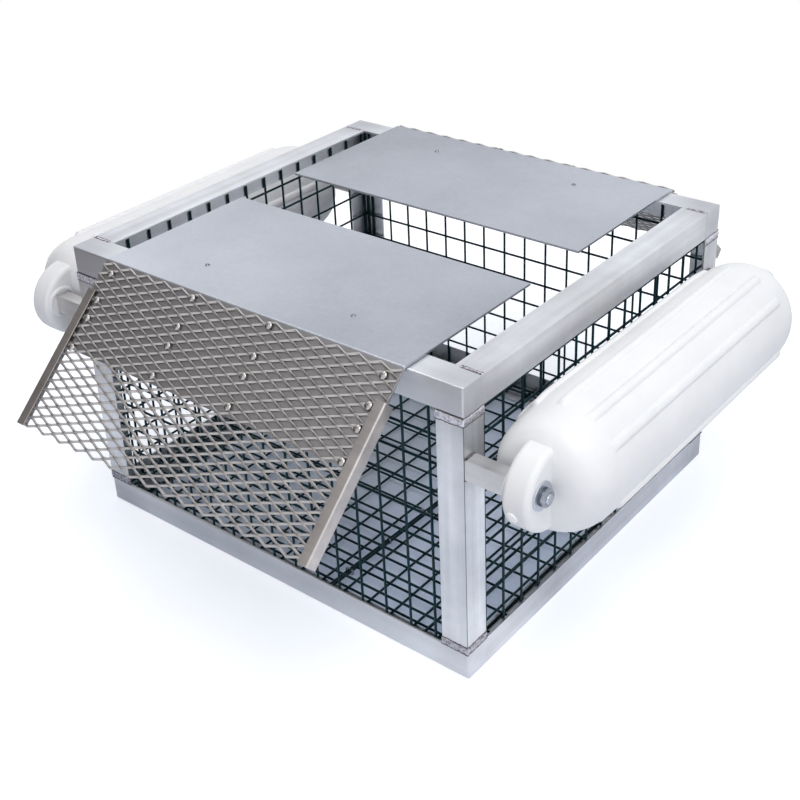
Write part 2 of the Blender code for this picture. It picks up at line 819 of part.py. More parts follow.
def main():
    clear_scene()
    build_frame()
    build_basket()
    for end, y_side in ENDS:
        build_board(end, y_side)
        build_pivots(end, y_side)
        for side, x_side in SIDES:
            build_fastenings(end, y_side, side, x_side)
    for side, x_side in SIDES:
        build_fender(side, x_side)


main()
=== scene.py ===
"""Floating turtle basking trap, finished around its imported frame.

Sections follow the trap as it is put together: the welded frame, the wire
basket, the arms and fenders, then the tilting boards with their ramps. The
floor, the light and the camera come last. Everything is in metres.
"""

import math
import random

import bmesh
import bpy
from mathutils import Matrix, Vector


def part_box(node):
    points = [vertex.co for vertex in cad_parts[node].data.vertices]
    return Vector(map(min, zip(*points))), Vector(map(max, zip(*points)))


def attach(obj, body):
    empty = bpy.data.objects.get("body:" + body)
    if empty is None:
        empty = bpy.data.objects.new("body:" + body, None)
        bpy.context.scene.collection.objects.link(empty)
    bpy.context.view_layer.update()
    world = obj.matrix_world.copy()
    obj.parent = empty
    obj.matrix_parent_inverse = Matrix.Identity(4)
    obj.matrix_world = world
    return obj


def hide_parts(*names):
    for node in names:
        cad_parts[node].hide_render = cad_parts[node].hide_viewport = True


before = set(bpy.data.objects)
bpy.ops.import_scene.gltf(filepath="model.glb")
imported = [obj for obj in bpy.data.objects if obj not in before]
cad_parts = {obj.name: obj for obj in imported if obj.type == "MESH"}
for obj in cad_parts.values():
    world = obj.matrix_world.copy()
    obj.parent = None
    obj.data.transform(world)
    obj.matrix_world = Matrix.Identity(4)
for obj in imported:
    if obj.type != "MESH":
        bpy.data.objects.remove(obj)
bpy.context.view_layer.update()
MM = 0.001
SIDES = (("left", -1), ("right", 1))
ENDS = (("front", -1), ("back", 1))
CORNERS = [(f"{end}_{side}", out_x, out_y) for end, out_y in ENDS for side, out_x in SIDES]


# End rails of the frame.
# Each is a length of 38 mm extruded aluminium angle across the whole width, with
# a small plate closing each end. It is sawn, welded and ground at the corners.
HALF_X = 320 * MM
HALF_Y = 296.5 * MM
FRAME_TOP = 406 * MM
RAIL_WALL = 3.2 * MM
SAWN_EDGE = 0.5 * MM
GROUND_CORNER = 3 * MM
HEAT_NEAR = 22 * MM
HEAT_FAR = 88 * MM


def linear(code):
    """An sRGB hex colour as linear red, green, blue and alpha."""
    parts = [int(code[at : at + 2], 16) / 255 for at in (1, 3, 5)]
    curved = [p / 12.92 if p <= 0.04045 else ((p + 0.055) / 1.055) ** 2.4 for p in parts]
    return (*curved, 1)


def join(tree, node, sockets):
    """Set a node's sockets to values or hex colours, or link them to sockets or nodes."""
    for name, value in sockets.items():
        if isinstance(value, bpy.types.Node):
            value = next(output for output in value.outputs if output.enabled)
        if isinstance(value, bpy.types.NodeSocket):
            tree.links.new(value, node.inputs[name])
        else:
            plain = linear(value) if isinstance(value, str) else value
            node.inputs[name].default_value = plain


def add_node(tree, kind, sockets=None, **settings):
    """A shader node with its settings, its sockets set or linked."""
    made = tree.nodes.new("ShaderNode" + kind)
    for name, value in settings.items():
        setattr(made, name, value)
    join(tree, made, sockets or {})
    return made


def start_material(name):
    """A material, its tree, its Principled shader and the object's coordinates in it."""
    material = bpy.data.materials.new(name)
    material.use_nodes = True
    tree = material.node_tree
    place = add_node(tree, "TexCoord").outputs["Object"]
    return material, tree, tree.nodes["Principled BSDF"], place


def grain(scale, detail, roughness=0.5):
    """The sockets of a noise."""
    return {"Scale": scale, "Detail": detail, "Roughness": roughness}


def spans(low, high, at_low=0.0, at_high=1.0):
    """The sockets that map one range of values to another."""
    return {"From Min": low, "From Max": high, "To Min": at_low, "To Max": at_high}


def fade(tree, place, spot, near, far, most, how="SMOOTHSTEP"):
    """A value that falls from the most to nothing with the distance from a spot."""
    away = add_node(tree, "VectorMath", {0: place, 1: spot}, operation="DISTANCE")
    falling = {"Value": away, **spans(near, far, most, 0.0)}
    return add_node(tree, "MapRange", falling, interpolation_type=how)


def relief(tree, *layers):
    """A surface's bumps over one another, each with its strength, rise and pattern."""
    below = {}
    for strength, rise, pattern in layers:
        sockets = {"Strength": strength, "Distance": rise, "Height": pattern, **below}
        below = {"Normal": add_node(tree, "Bump", sockets)}
    return below["Normal"]


def mill_finish(name, along, light, dark, rough):
    """Mill-finish extruded aluminium: die lines along the bar, blotches from handling.

    The die lines make its gloss streaky, and near the frame's corners the heat
    of the welds has left a duller, warmer skin.
    """
    material, tree, shader, place = start_material(name)
    # Die lines are about 0.3 mm apart, and drawn 1 mm apart so that they show.
    stretch = [3.0 if axis == along else 1 / MM for axis in "XYZ"]
    lined = add_node(tree, "Mapping", {"Vector": place, "Scale": stretch})
    lines = add_node(tree, "TexNoise", {"Vector": lined, **grain(1.0, 3.0, 0.6)})
    # The blotches are about 90 mm across, and the streaks 18 mm wide and 700 mm long.
    blotches = add_node(tree, "TexNoise", {"Vector": place, **grain(11.0, 6.0, 0.62)})
    streaks = [0.9 if axis == along else 34.0 for axis in "XYZ"]
    drawn = add_node(tree, "Mapping", {"Vector": place, "Scale": streaks})
    streaked = add_node(tree, "TexNoise", {"Vector": drawn, **grain(1.6, 4.0, 0.55)})
    mottle = add_node(tree, "Mix", {0: 0.5, 2: blotches, 3: streaked}, data_type="FLOAT")
    spread = add_node(tree, "MapRange", {"Value": mottle, **spans(0.36, 0.64)})
    skin = add_node(tree, "Mix", {0: spread, 6: dark, 7: light}, data_type="RGBA")
    # The stain fades with distance from the nearest of the frame's eight corners.
    middle = (0, 0, FRAME_TOP / 2)
    centred = add_node(tree, "VectorMath", {0: place, 1: middle}, operation="SUBTRACT")
    folded = add_node(tree, "VectorMath", {0: centred}, operation="ABSOLUTE")
    heat = fade(tree, folded, (HALF_X, HALF_Y, FRAME_TOP / 2), HEAT_NEAR, HEAT_FAR, 0.68)
    stain = add_node(tree, "Math", {0: heat, 1: blotches}, operation="MULTIPLY")
    stained = add_node(tree, "Mix", {0: stain, 6: skin, 7: "#8b8590"}, data_type="RGBA")
    streaky = spans(0.3, 0.7, rough - 0.05, rough + 0.07)
    gloss = add_node(tree, "MapRange", {"Value": lines, **streaky})
    duller = add_node(tree, "Math", {0: stain, 1: 0.25, 2: gloss}, operation="MULTIPLY_ADD")
    marks = relief(tree, (0.25, 0.03 * MM, lines), (0.5, 0.5 * MM, blotches))
    join(tree, shader, {"Metallic": 1.0, "Base Color": stained, "Roughness": duller, "Normal": marks})
    return material


def show(name, shape, material, smooth_below=35, flat_sided=False):
    """An object at the origin from a bmesh in the trap's own coordinates.

    On a flat-sided piece only the rounded edges bend the light, not the faces.
    """
    mesh = bpy.data.meshes.new(name)
    shape.to_mesh(mesh)
    shape.free()
    mesh.materials.append(material)
    mesh.shade_smooth()
    mesh.set_sharp_from_angle(angle=math.radians(smooth_below))
    piece = bpy.data.objects.new(name, mesh)
    bpy.context.scene.collection.objects.link(piece)
    if flat_sided:
        even = piece.modifiers.new("flat_faces", "WEIGHTED_NORMAL")
        even.keep_sharp = True
    return piece


def settle(piece, body, finish, *nodes):
    """The piece moves with a body and stands for CAD nodes. The finish is not used."""
    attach(piece, body)
    if nodes:
        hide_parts(*nodes)


def block(low, high):
    """A plain box between two corners."""
    shape = bmesh.new()
    bmesh.ops.create_cube(shape, size=1)
    bmesh.ops.scale(shape, vec=Vector(high) - Vector(low), verts=shape.verts)
    bmesh.ops.translate(shape, vec=(Vector(high) + Vector(low)) / 2, verts=shape.verts)
    return shape


def break_edges(shape, width, chosen=None, sharper_than=30, steps=2):
    """Round the sharp edges of a shape, or only those that are chosen."""
    edges = [
        edge
        for edge in shape.edges
        if len(edge.link_faces) == 2
        and edge.calc_face_angle(0) > math.radians(sharper_than)
        and (chosen is None or chosen(edge))
    ]
    bmesh.ops.bevel(
        shape,
        geom=edges,
        offset=width,
        offset_type="OFFSET",
        segments=steps,
        profile=0.5,
        affect="EDGES",
        clamp_overlap=True,
        material=-1,
    )


def plate_shell(low, high, open_ways, wall):
    """Walls of one thickness inside a box, left open towards the given directions."""
    shape = block(low, high)
    gone = [
        face
        for face in shape.faces
        if any(face.normal.dot(Vector(way)) > 0.9 for way in open_ways)
    ]
    bmesh.ops.delete(shape, geom=gone, context="FACES")
    bmesh.ops.solidify(shape, geom=shape.faces[:], thickness=wall)
    bmesh.ops.recalc_face_normals(shape, faces=shape.faces)
    return shape


def off_seam(edge, seam_y):
    """Whether an edge lies off the two upright planes where end and side rails meet."""
    return any(abs(abs(vert.co.y) - seam_y) > 0.5 * MM for vert in edge.verts)


extrusion_x = mill_finish("mill_extrusion_along_x", "X", "#e6e8eb", "#d3d6da", 0.34)
extrusion_y = mill_finish("mill_extrusion_along_y", "Y", "#eceef2", "#cdcdcf", 0.34)
extrusion_z = mill_finish("mill_extrusion_along_z", "Z", "#f0f1f3", "#c9ccce", 0.36)

for level, up in (("top", 1), ("bottom", -1)):
    for end, out in ENDS:
        node = f"rail_{level}_{end}"
        low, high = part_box(node)
        low.x, high.x = -HALF_X, HALF_X
        shell = plate_shell(low, high, [(0, -out, 0), (0, 0, -up)], RAIL_WALL)
        face_y = out * max(abs(low.y), abs(high.y))
        break_edges(
            shell,
            GROUND_CORNER,
            lambda edge: all(
                abs(abs(vert.co.x) - HALF_X) < MM and abs(vert.co.y - face_y) < MM
                for vert in edge.verts
            ),
            steps=4,
        )
        inner_y = min(abs(low.y), abs(high.y))
        break_edges(shell, SAWN_EDGE, lambda edge: level == "top" or off_seam(edge, inner_y))
        rail = show(f"end_rail_{level}_{end}", shell, extrusion_x, 60, True)
        settle(rail, "frame", "angle_aluminium", node)


# Side rails of the frame.
# The same angle, cut to fit between the end rails and butted against them. A seam
# shows across each top corner, and the bottom ones are welded over and ground flush.
SEAM = {"top": 0.2 * MM, "bottom": 0.01 * MM}
SEAM_Y = 258.5 * MM

for level, up in (("top", 1), ("bottom", -1)):
    for side, out in SIDES:
        node = f"rail_{level}_{side}"
        low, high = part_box(node)
        low.y, high.y = SEAM[level] - SEAM_Y, SEAM_Y - SEAM[level]
        open_ways = [(-out, 0, 0), (0, 0, -up), (0, 1, 0), (0, -1, 0)]
        shell = plate_shell(low, high, open_ways, RAIL_WALL)
        break_edges(shell, SAWN_EDGE, lambda edge: level == "top" or off_seam(edge, SEAM_Y))
        rail = show(f"side_rail_{level}_{side}", shell, extrusion_y, 60, True)
        settle(rail, "frame", "angle_aluminium", node)


# Corner posts.
# Four upright lengths of the same angle between the bottom and the top rails,
# with their outer faces flush with the rails' faces. Their colour is darker along the outer corner.
POST_CORNER = 0.8 * MM
CORNER_LINE_REACH = 0.9 * MM


def darken_outer_corners(material):
    """Darken a material along the frame's four upright outer corners."""
    tree = material.node_tree
    shader = tree.nodes["Principled BSDF"]
    clean = shader.inputs["Base Color"].links[0].from_socket
    place = add_node(tree, "TexCoord").outputs["Object"]
    folded = add_node(tree, "VectorMath", {0: place}, operation="ABSOLUTE")
    flat = add_node(tree, "VectorMath", {0: folded, 1: (1, 1, 0)}, operation="MULTIPLY")
    # The colour darkens within about a millimetre of each upright outer corner.
    corner_line = fade(tree, flat, (HALF_X, HALF_Y, 0), CORNER_LINE_REACH * 0.6, CORNER_LINE_REACH, 0.8, "LINEAR")
    lined = add_node(tree, "Mix", {0: corner_line, 6: clean, 7: "#4c484a"}, data_type="RGBA")
    join(tree, shader, {"Base Color": lined})


darken_outer_corners(extrusion_z)
for corner, out_x, out_y in CORNERS:
    node = f"post_{corner}"
    open_ways = [(-out_x, 0, 0), (0, -out_y, 0), (0, 0, 1), (0, 0, -1)]
    shell = plate_shell(*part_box(node), open_ways, RAIL_WALL)
    break_edges(shell, POST_CORNER)
    post = show(f"corner_post_{corner}", shell, extrusion_z, 60, True)
    settle(post, "frame", "angle_aluminium", node)


# Weld beads at the corners.
# Filler laid by hand along each joint and brushed down to a broad band of low ripples,
# bright at the top and dull at the foot, with a thin line of dark smut left beside it.
RIPPLE = 2.3 * MM
BAND_RISE = 0.8 * MM
BASE_BAND = 10.5 * MM
BASE_SMUT = 2.3 * MM
TOP_BAND = 10.4 * MM
TOP_SMUT = 1.2 * MM
SMUT_RIPPLE = 3.1 * MM
SMUT_RISE = 0.4 * MM
SMUT_OUT = 0.3 * MM
BAND_IN = 5 * MM
SEAM_FROM = 30 * MM
SEAM_TO = 1.5 * MM
# The width and the rise of the smut and of the filler over each top seam.
SEAM_SMUT = (6.6 * MM, 0.42 * MM)
SEAM_FILLER = (3.6 * MM, 0.55 * MM)
random.seed(11)


def patchy_skin(name, tones, patches, share, gloss, dimples, plain, crystals=None):
    """A material whose colour and gloss vary in patches, with dimples in its skin.

    Patches and dimples are noises, and crystals of some scale may lie among the patches.
    Dimples that have no noise of their own follow the patches. The tones go from dark to
    light over a share of the patches, and the gloss over the whole of them.
    """
    material, tree, shader, place = start_material(name)
    pattern = add_node(tree, "TexNoise", {"Vector": place, **grain(*patches)})
    if crystals:
        cells = add_node(tree, "TexVoronoi", {"Vector": place, "Scale": crystals})
        pattern = add_node(tree, "Mix", {0: 0.7, 2: cells, 3: pattern}, data_type="FLOAT")
    spread = add_node(tree, "MapRange", {"Value": pattern, **spans(*share)})
    skin = add_node(tree, "Mix", {0: spread, 6: tones[0], 7: tones[1]}, data_type="RGBA")
    rough = add_node(tree, "MapRange", {"Value": pattern, **spans(0.0, 1.0, *gloss)})
    join(tree, shader, {"Base Color": skin, "Roughness": rough, **plain})
    if dimples:
        fine, strength, rise = dimples
        if fine:
            pattern = add_node(tree, "TexNoise", {"Vector": place, **grain(*fine)})
        join(tree, shader, {"Normal": relief(tree, (strength, rise, pattern))})
    return material


def weld_metal(name, light, dark, rough):
    """Cast aluminium filler, brushed bright on its crests, or its smut, in 4 mm lumps."""
    lumps = (260.0, 4.0, 0.6)
    gloss = (rough + 0.15, rough - 0.15)
    dimples = (None, 0.5, 0.2 * MM)
    return patchy_skin(name, (dark, light), lumps, (0.36, 0.58), gloss, dimples, {"Metallic": 1.0})


def pour(part, whole):
    """Put one bmesh into another, and let it go."""
    mesh = bpy.data.meshes.new("part")
    part.to_mesh(mesh)
    part.free()
    whole.from_mesh(mesh)
    bpy.data.meshes.remove(mesh)


def lay_bead(whole, start, end, out, width, height, ripple=RIPPLE):
    """A row of flattened ripples from start to end on a face that looks along out."""
    shape = bmesh.new()
    start, end, out = Vector(start), Vector(end), Vector(out)
    run = end - start
    ahead = run.normalized()
    turn = Matrix((ahead, out.cross(ahead), out)).transposed().to_4x4()
    count = max(2, round(run.length / ripple))
    for step in range(count):
        middle = start + run * ((step + 0.5) / count)
        middle += out.cross(ahead) * random.uniform(-0.4, 0.4) * MM
        half_width = width / 2 * random.uniform(0.88, 1.1)
        rise = height * random.uniform(0.8, 1.15)
        size = Matrix.Diagonal((ripple * 0.95, half_width, rise, 1))
        lean = Matrix.Rotation(math.radians(random.uniform(3, 9)), 4, "Y")
        place = Matrix.Translation(middle) @ turn @ lean @ size
        bmesh.ops.create_uvsphere(shape, u_segments=9, v_segments=6, radius=1, matrix=place)
    pour(shape, whole)


def lay_band(filler, smut, start, end, out, width, line):
    """A broad bead with a thin uneven line of smut along each of its edges."""
    start, end, out = Vector(start), Vector(end), Vector(out)
    aside = out.cross(end - start).normalized() * (width / 2 + SMUT_OUT)
    lay_bead(filler, start, end, out, width, BAND_RISE)
    for edge in (aside, -aside):
        lay_bead(smut, start + edge, end + edge, out, line, SMUT_RISE, SMUT_RIPPLE)


beads = bmesh.new()
base_beads = bmesh.new()
stains = bmesh.new()
for corner, out_x, out_y in CORNERS:
    low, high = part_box(f"post_{corner}")
    x_out, x_in = (high.x, low.x) if out_x > 0 else (low.x, high.x)
    y_out, y_in = (high.y, low.y) if out_y > 0 else (low.y, high.y)
    base_band = (base_beads, low.z + BAND_IN, BASE_BAND, BASE_SMUT)
    top_band = (beads, high.z - BAND_IN, TOP_BAND, TOP_SMUT)
    for filler, z, width, line in (base_band, top_band):
        ends = (x_in, y_out, z), (x_out, y_out, z)
        lay_band(filler, stains, *ends, (0, out_y, 0), width, line)
        ends = (x_out, y_in, z), (x_out, y_out, z)
        lay_band(filler, stains, *ends, (out_x, 0, 0), width, line)
    seam_y = out_y * SEAM_Y
    ends = [(x_out - out_x * back, seam_y, FRAME_TOP) for back in (SEAM_FROM, SEAM_TO)]
    lay_bead(stains, *ends, (0, 0, 1), *SEAM_SMUT)
    lay_bead(beads, *ends, (0, 0, 1), *SEAM_FILLER)
weld_filler = weld_metal("brushed_weld_filler", "#e6e5ec", "#b3aeb8", 0.34)
base_filler = weld_metal("dull_weld_filler", "#b9b7be", "#77727b", 0.42)
weld_smut = weld_metal("weld_smut", "#8a8486", "#4e494b", 0.6)
settle(show("corner_welds", beads, weld_filler, 60), "frame", "angle_aluminium")
settle(show("corner_base_welds", base_beads, base_filler, 60), "frame", "angle_aluminium")
settle(show("corner_weld_smut", stains, weld_smut, 60), "frame", "angle_aluminium")


# Wire basket.
# Five panels of 38 mm welded mesh, in 3 mm steel wire with a dark green vinyl coat.
# Upright and cross wires touch where they cross. The floor is two sheets that lap, with
# their edge wires bundled along the seams.
WIRE_RADIUS = 1.7 * MM
WIRE_PITCH = 38.3 * MM
WIRE_GAP = 8 * MM
LAYER_STEP = 2.5 * MM
LAP_RISE = 1.5 * MM
LAP_RADIUS = WIRE_RADIUS * 1.2
# Where the wires of each panel run: its axes, one known wire in each set, its inner side.
PANELS = (
    ("mesh_front", 0, 2, (0.4 * MM, 60 * MM), 1),
    ("mesh_back", 0, 2, (5 * MM, 53 * MM), -1),
    ("mesh_left", 1, 2, (-17 * MM, 54.5 * MM), 1),
    ("mesh_right", 1, 2, (-23.2 * MM, 54.5 * MM), -1),
)
# The front and the back end of each bundled wire, in mm from the middle.
LAP_WIRES = ((74.5, 86.5), (78.3, 90.5), (231, 238))
random.seed(23)

# The coat is nearly black blue-green and satin, with dust in patches of about 20 mm. Its
# fine dimples are drawn 1 mm apart so that they show.
coat = patchy_skin(
    "dark_green_vinyl_coat",
    ("#041c22", "#0a2e34"),
    (45.0, 5.0, 0.6),
    (0.35, 0.75),
    (0.32, 0.5),
    ((900.0, 2.0), 0.3, 0.05 * MM),
    {"IOR": 1.5, "Specular Tint": "#7fb4bb"},
)


def add_rod(shape, start, end, radius, sides=8):
    """A straight round rod between two points."""
    start, end = Vector(start), Vector(end)
    turn = (end - start).to_track_quat("Z", "Y").to_matrix().to_4x4()
    bmesh.ops.create_cone(
        shape,
        cap_ends=True,
        segments=sides,
        radius1=radius,
        radius2=radius,
        depth=(end - start).length,
        matrix=Matrix.Translation((start + end) / 2) @ turn,
    )


def wire_places(low, high, known):
    """Centres of the wires between two edges, spaced from one known wire."""
    first = known + math.ceil((low + WIRE_GAP - known) / WIRE_PITCH) * WIRE_PITCH
    places = [low + WIRE_RADIUS]
    while first < high - WIRE_GAP:
        places.append(first)
        first += WIRE_PITCH
    return [*places, high - WIRE_RADIUS]


def weave_panel(node, across, along, known, inward, edged=True):
    """Both sets of wires of one flat panel, each wire a hair off true."""
    low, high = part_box(node)
    shape = bmesh.new()
    flat = ({0, 1, 2} - {across, along}).pop()
    base = (low[flat] + high[flat]) / 2
    for axis, other, layer, wire in ((along, across, 0, known[0]), (across, along, 1, known[1])):
        places = wire_places(low[other], high[other], wire)
        if layer == 0 and not edged:
            places = places[1:-1]
        for at in places:
            ends = []
            for limit in (low[axis], high[axis]):
                point = Vector((0, 0, 0))
                point[axis] = limit
                point[other] = at + random.uniform(-0.7, 0.7) * MM
                point[flat] = base + inward * (layer * LAYER_STEP + random.uniform(0, 0.3) * MM)
                ends.append(point)
            add_rod(shape, *ends, WIRE_RADIUS)
    return shape


for node, across, along, known, inward in PANELS:
    panel = show(node + "_wires", weave_panel(node, across, along, known, inward), coat)
    settle(panel, "frame", "coated_wire", node)

floor_wires = weave_panel("mesh_floor", 0, 1, (20 * MM, 10 * MM), 1, edged=False)
low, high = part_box("mesh_floor")
lap_z = high.z + LAP_RISE
for x_front, x_back in LAP_WIRES:
    ends = (x_front * MM, low.y, lap_z), (x_back * MM, high.y, lap_z)
    add_rod(floor_wires, *ends, LAP_RADIUS)
settle(show("mesh_floor_wires", floor_wires, coat), "frame", "coated_wire", "mesh_floor")


# Clips on the floor's lap.
# Open steel rings squeezed round the two neighbouring wires, galvanised.
CLIP_RADIUS = 6 * MM
CLIP_WIRE = 1.1 * MM
CLIP_SHARE = 0.93
CLIPS = ((79, -71), (77, -151), (78, -232), (84, 10), (88, 95), (92, 180), (231, -190), (235, 60))


def bright_zinc(name, light, dark, rough):
    """Zinc plate: cold, bluish, with duller 7 mm patches and faint crystals.

    The crystals are drawn 2.4 mm across so that they show.
    """
    patches = (150.0, 4.0, 0.6)
    gloss = (rough - 0.08, rough + 0.12)
    dimples = (None, 0.3, 0.05 * MM)
    plain = {"Metallic": 1.0}
    return patchy_skin(name, (dark, light), patches, (0.0, 1.0), gloss, dimples, plain, 420.0)


def spin_about(shape, geom, middle, axis, steps, share=1.0):
    """Spin verts and edges about an axis, a whole turn or an open part of one."""
    bmesh.ops.spin(
        shape,
        geom=geom,
        cent=middle,
        axis=axis,
        angle=math.tau * share,
        steps=steps,
        use_merge=share == 1.0,
        use_duplicate=False,
    )


def add_ring(shape, centre, axis, radius, thickness, share):
    """An open ring of round wire about an axis."""
    circle = bmesh.ops.create_circle(shape, cap_ends=False, segments=6, radius=thickness)
    axis = Vector(axis).normalized()
    side = axis.orthogonal().normalized()
    turn = Matrix((side, axis, side.cross(axis))).transposed().to_4x4()
    start = Matrix.Translation(Vector(centre) + side * radius) @ turn
    bmesh.ops.transform(shape, matrix=start, verts=circle["verts"])
    edges = list({edge for vert in circle["verts"] for edge in vert.link_edges})
    spin_about(shape, circle["verts"] + edges, centre, axis, 14, share)


galvanised = bright_zinc("galvanised_clip", "#cdd2d8", "#8d9299", 0.4)
clips = bmesh.new()
for x, y in CLIPS:
    add_ring(clips, (x * MM, y * MM, lap_z), (0, 1, 0.2), CLIP_RADIUS, CLIP_WIRE, CLIP_SHARE)
bmesh.ops.recalc_face_normals(clips, faces=clips.faces)
settle(show("floor_clips", clips, galvanised), "frame", "zinc_steel")


# Fender arms.
# Short lengths of 19 x 27 mm rectangular bar, sawn square and welded to the posts.
ARM_EDGE = 1.6 * MM
ARM_WELD = 4 * MM
ARM_WELD_OUT = 0.6 * MM


def cad_copy(node):
    """A CAD node's mesh with its loose triangles merged and its flat faces whole."""
    shape = bmesh.new()
    shape.from_mesh(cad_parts[node].data)
    bmesh.ops.remove_doubles(shape, verts=shape.verts, dist=0.002 * MM)
    flat = math.radians(1)
    bmesh.ops.dissolve_limit(shape, angle_limit=flat, verts=shape.verts[:], edges=shape.edges[:])
    return shape


arm_bar = mill_finish("sawn_bar_along_x", "X", "#e3e1e0", "#c6c4c3", 0.34)
arm_welds = bmesh.new()
for corner, out_x, _ in CORNERS:
    node = f"arm_{corner}"
    shape = cad_copy(node)
    break_edges(shape, ARM_EDGE, sharper_than=60, steps=3)
    arm = show(f"fender_arm_{corner}", shape, arm_bar, 60, True)
    settle(arm, "frame", "angle_aluminium", node)
    low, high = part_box(node)
    root = (low.x if out_x > 0 else high.x) + out_x * ARM_WELD_OUT
    for z, up in ((low.z, -1), (high.z, 1)):
        ends = (root, low.y, z), (root, high.y, z)
        lay_bead(arm_welds, *ends, (0, 0, up), ARM_WELD, BAND_RISE)
settle(show("arm_welds", arm_welds, weld_smut, 60), "frame", "angle_aluminium")


# Fenders.
# Blown vinyl, moulded in one piece: a barrel with lengthwise ribs, rounded ends and a
# solid eye at each end. The mould leaves soft edges and a faint orange peel.
FENDER_X = 396 * MM
FENDER_MIDDLE = -9 * MM
FENDER_Z = 297 * MM
BARREL_RADIUS = 73.8 * MM
STRAIGHT_END = 194 * MM
EVEN_ROWS_END = 174 * MM
SHOULDER_LENGTH = 65 * MM
SHOULDER_DEPTH = 45 * MM
SHOULDER_POWER = 2.8
ROW_STEP = 1.3 * MM
END_CROWN = 2 * MM
RIB_PLACES = 12
FIRST_RIB = math.radians(36.2)
SMOOTH_PLACES = (5, 11)
RIB_HEIGHT = 3.9 * MM
RIB_HALF = 6.3 * MM
RIB_END = 205 * MM
ROUNDER_SIDE = math.radians(160)
ROUNDER_FROM = 24 * MM
ROUNDER_PULL = 5 * MM
EYE_INNER = 378.5 * MM
EYE_OUTER = 413.6 * MM
EYE_ROOT = 216 * MM
EYE_MIDDLE = 249.9 * MM
EYE_REACH = 55.2 * MM
EYE_HALF_HEIGHT = 52.5 * MM
EYE_EDGE = 7.5 * MM

# The vinyl has a soft gloss, a little grey in patches of 110 mm, and 1.5 mm peel.
vinyl = patchy_skin(
    "white_moulded_vinyl",
    ("#e6e6e8", "#eeeeef"),
    (9.0, 6.0, 0.65),
    (0.3, 0.6),
    (0.34, 0.5),
    ((1 / (1.5 * MM), 1.0), 0.2, 0.06 * MM),
    {"IOR": 1.5, "Subsurface Weight": 0.06, "Subsurface Scale": 0.004},
)


def barrel_outline():
    """Half the barrel's side view as (radius, distance from its middle), tip first."""
    steps = 16
    outline = [(0, STRAIGHT_END + SHOULDER_LENGTH + END_CROWN)]
    for step in range(steps + 1):
        share = math.sin(math.pi / 2 * (1 - (step / steps)) ** 1.6)
        drop = 1 - (1 - share**SHOULDER_POWER) ** (1 / SHOULDER_POWER)
        along = STRAIGHT_END + SHOULDER_LENGTH * share
        outline.append((BARREL_RADIUS - SHOULDER_DEPTH * drop, along))
    # Rows lie close together where the ribs end, and wide apart along the middle.
    outline += [(BARREL_RADIUS, STRAIGHT_END - step * ROW_STEP) for step in range(1, 8)]
    outline += [(BARREL_RADIUS, EVEN_ROWS_END * (1 - step / 12)) for step in range(12)]
    return outline


def add_outline(shape, points, closed=False):
    """Verts at the points, and the edges from each to the next."""
    verts = [shape.verts.new(point) for point in points]
    following = verts[1:] + verts[:1] if closed else verts[1:]
    return verts + [shape.edges.new(pair) for pair in zip(verts, following)]


def ribbed_barrel():
    """The right barrel about its own middle, spun from its outline, its ribs pushed out."""
    outline = barrel_outline()
    outline += [(BARREL_RADIUS, 0)] + [(radius, -y) for radius, y in reversed(outline)]
    shape = bmesh.new()
    geom = add_outline(shape, [(radius, y, 0) for radius, y in outline])
    spin_about(shape, geom, (0, 0, 0), (0, 1, 0), 288)
    bmesh.ops.remove_doubles(shape, verts=shape.verts, dist=0.01 * MM)
    spacing = math.tau / RIB_PLACES
    for vert in shape.verts:
        ray = Vector((vert.co.x, 0, vert.co.z))
        if ray.length < BARREL_RADIUS / 3:
            continue
        turn = math.atan2(ray.z, ray.x)
        place = round((turn - FIRST_RIB) / spacing)
        aside = abs(turn - FIRST_RIB - place * spacing) * BARREL_RADIUS
        beyond = max(0, abs(vert.co.y) - (RIB_END - RIB_HALF))
        near = math.hypot(aside, beyond) / RIB_HALF
        if near < 1 and place % RIB_PLACES not in SMOOTH_PLACES:
            vert.co += ray.normalized() * RIB_HEIGHT * (1 - near**3)
        # The ends are rounder on the side that faces the frame.
        inner = max(0, math.cos(turn - ROUNDER_SIDE))
        reach = ROUNDER_FROM + SHOULDER_LENGTH
        past = max(0, abs(vert.co.y) - (STRAIGHT_END - ROUNDER_FROM)) / reach
        pull = inner * ROUNDER_PULL * math.sin(math.pi * min(1, past)) ** 2
        vert.co -= Vector((ray.x, math.copysign(ray.length, vert.co.y), ray.z)).normalized() * pull
    bmesh.ops.recalc_face_normals(shape, faces=shape.faces)
    return shape


def moulded_eye(out_y):
    """One eye: a half-round tongue that runs back into the barrel, its edges rounded."""
    shape = bmesh.new()
    points = [(EYE_ROOT, EYE_HALF_HEIGHT), (EYE_ROOT, -EYE_HALF_HEIGHT)]
    for step in range(29):
        angle = math.pi * (step / 28 - 0.5)
        along = EYE_MIDDLE + EYE_REACH * math.cos(angle)
        points.append((along, EYE_HALF_HEIGHT * math.sin(angle)))
    verts = [shape.verts.new((EYE_INNER - FENDER_X, out_y * y, z)) for y, z in points]
    face = shape.faces.new(verts)
    grown = bmesh.ops.extrude_face_region(shape, geom=[face])
    moved = [item for item in grown["geom"] if isinstance(item, bmesh.types.BMVert)]
    bmesh.ops.translate(shape, vec=(EYE_OUTER - EYE_INNER, 0, 0), verts=moved)
    bmesh.ops.recalc_face_normals(shape, faces=shape.faces)
    break_edges(shape, EYE_EDGE, sharper_than=50, steps=5)
    return shape


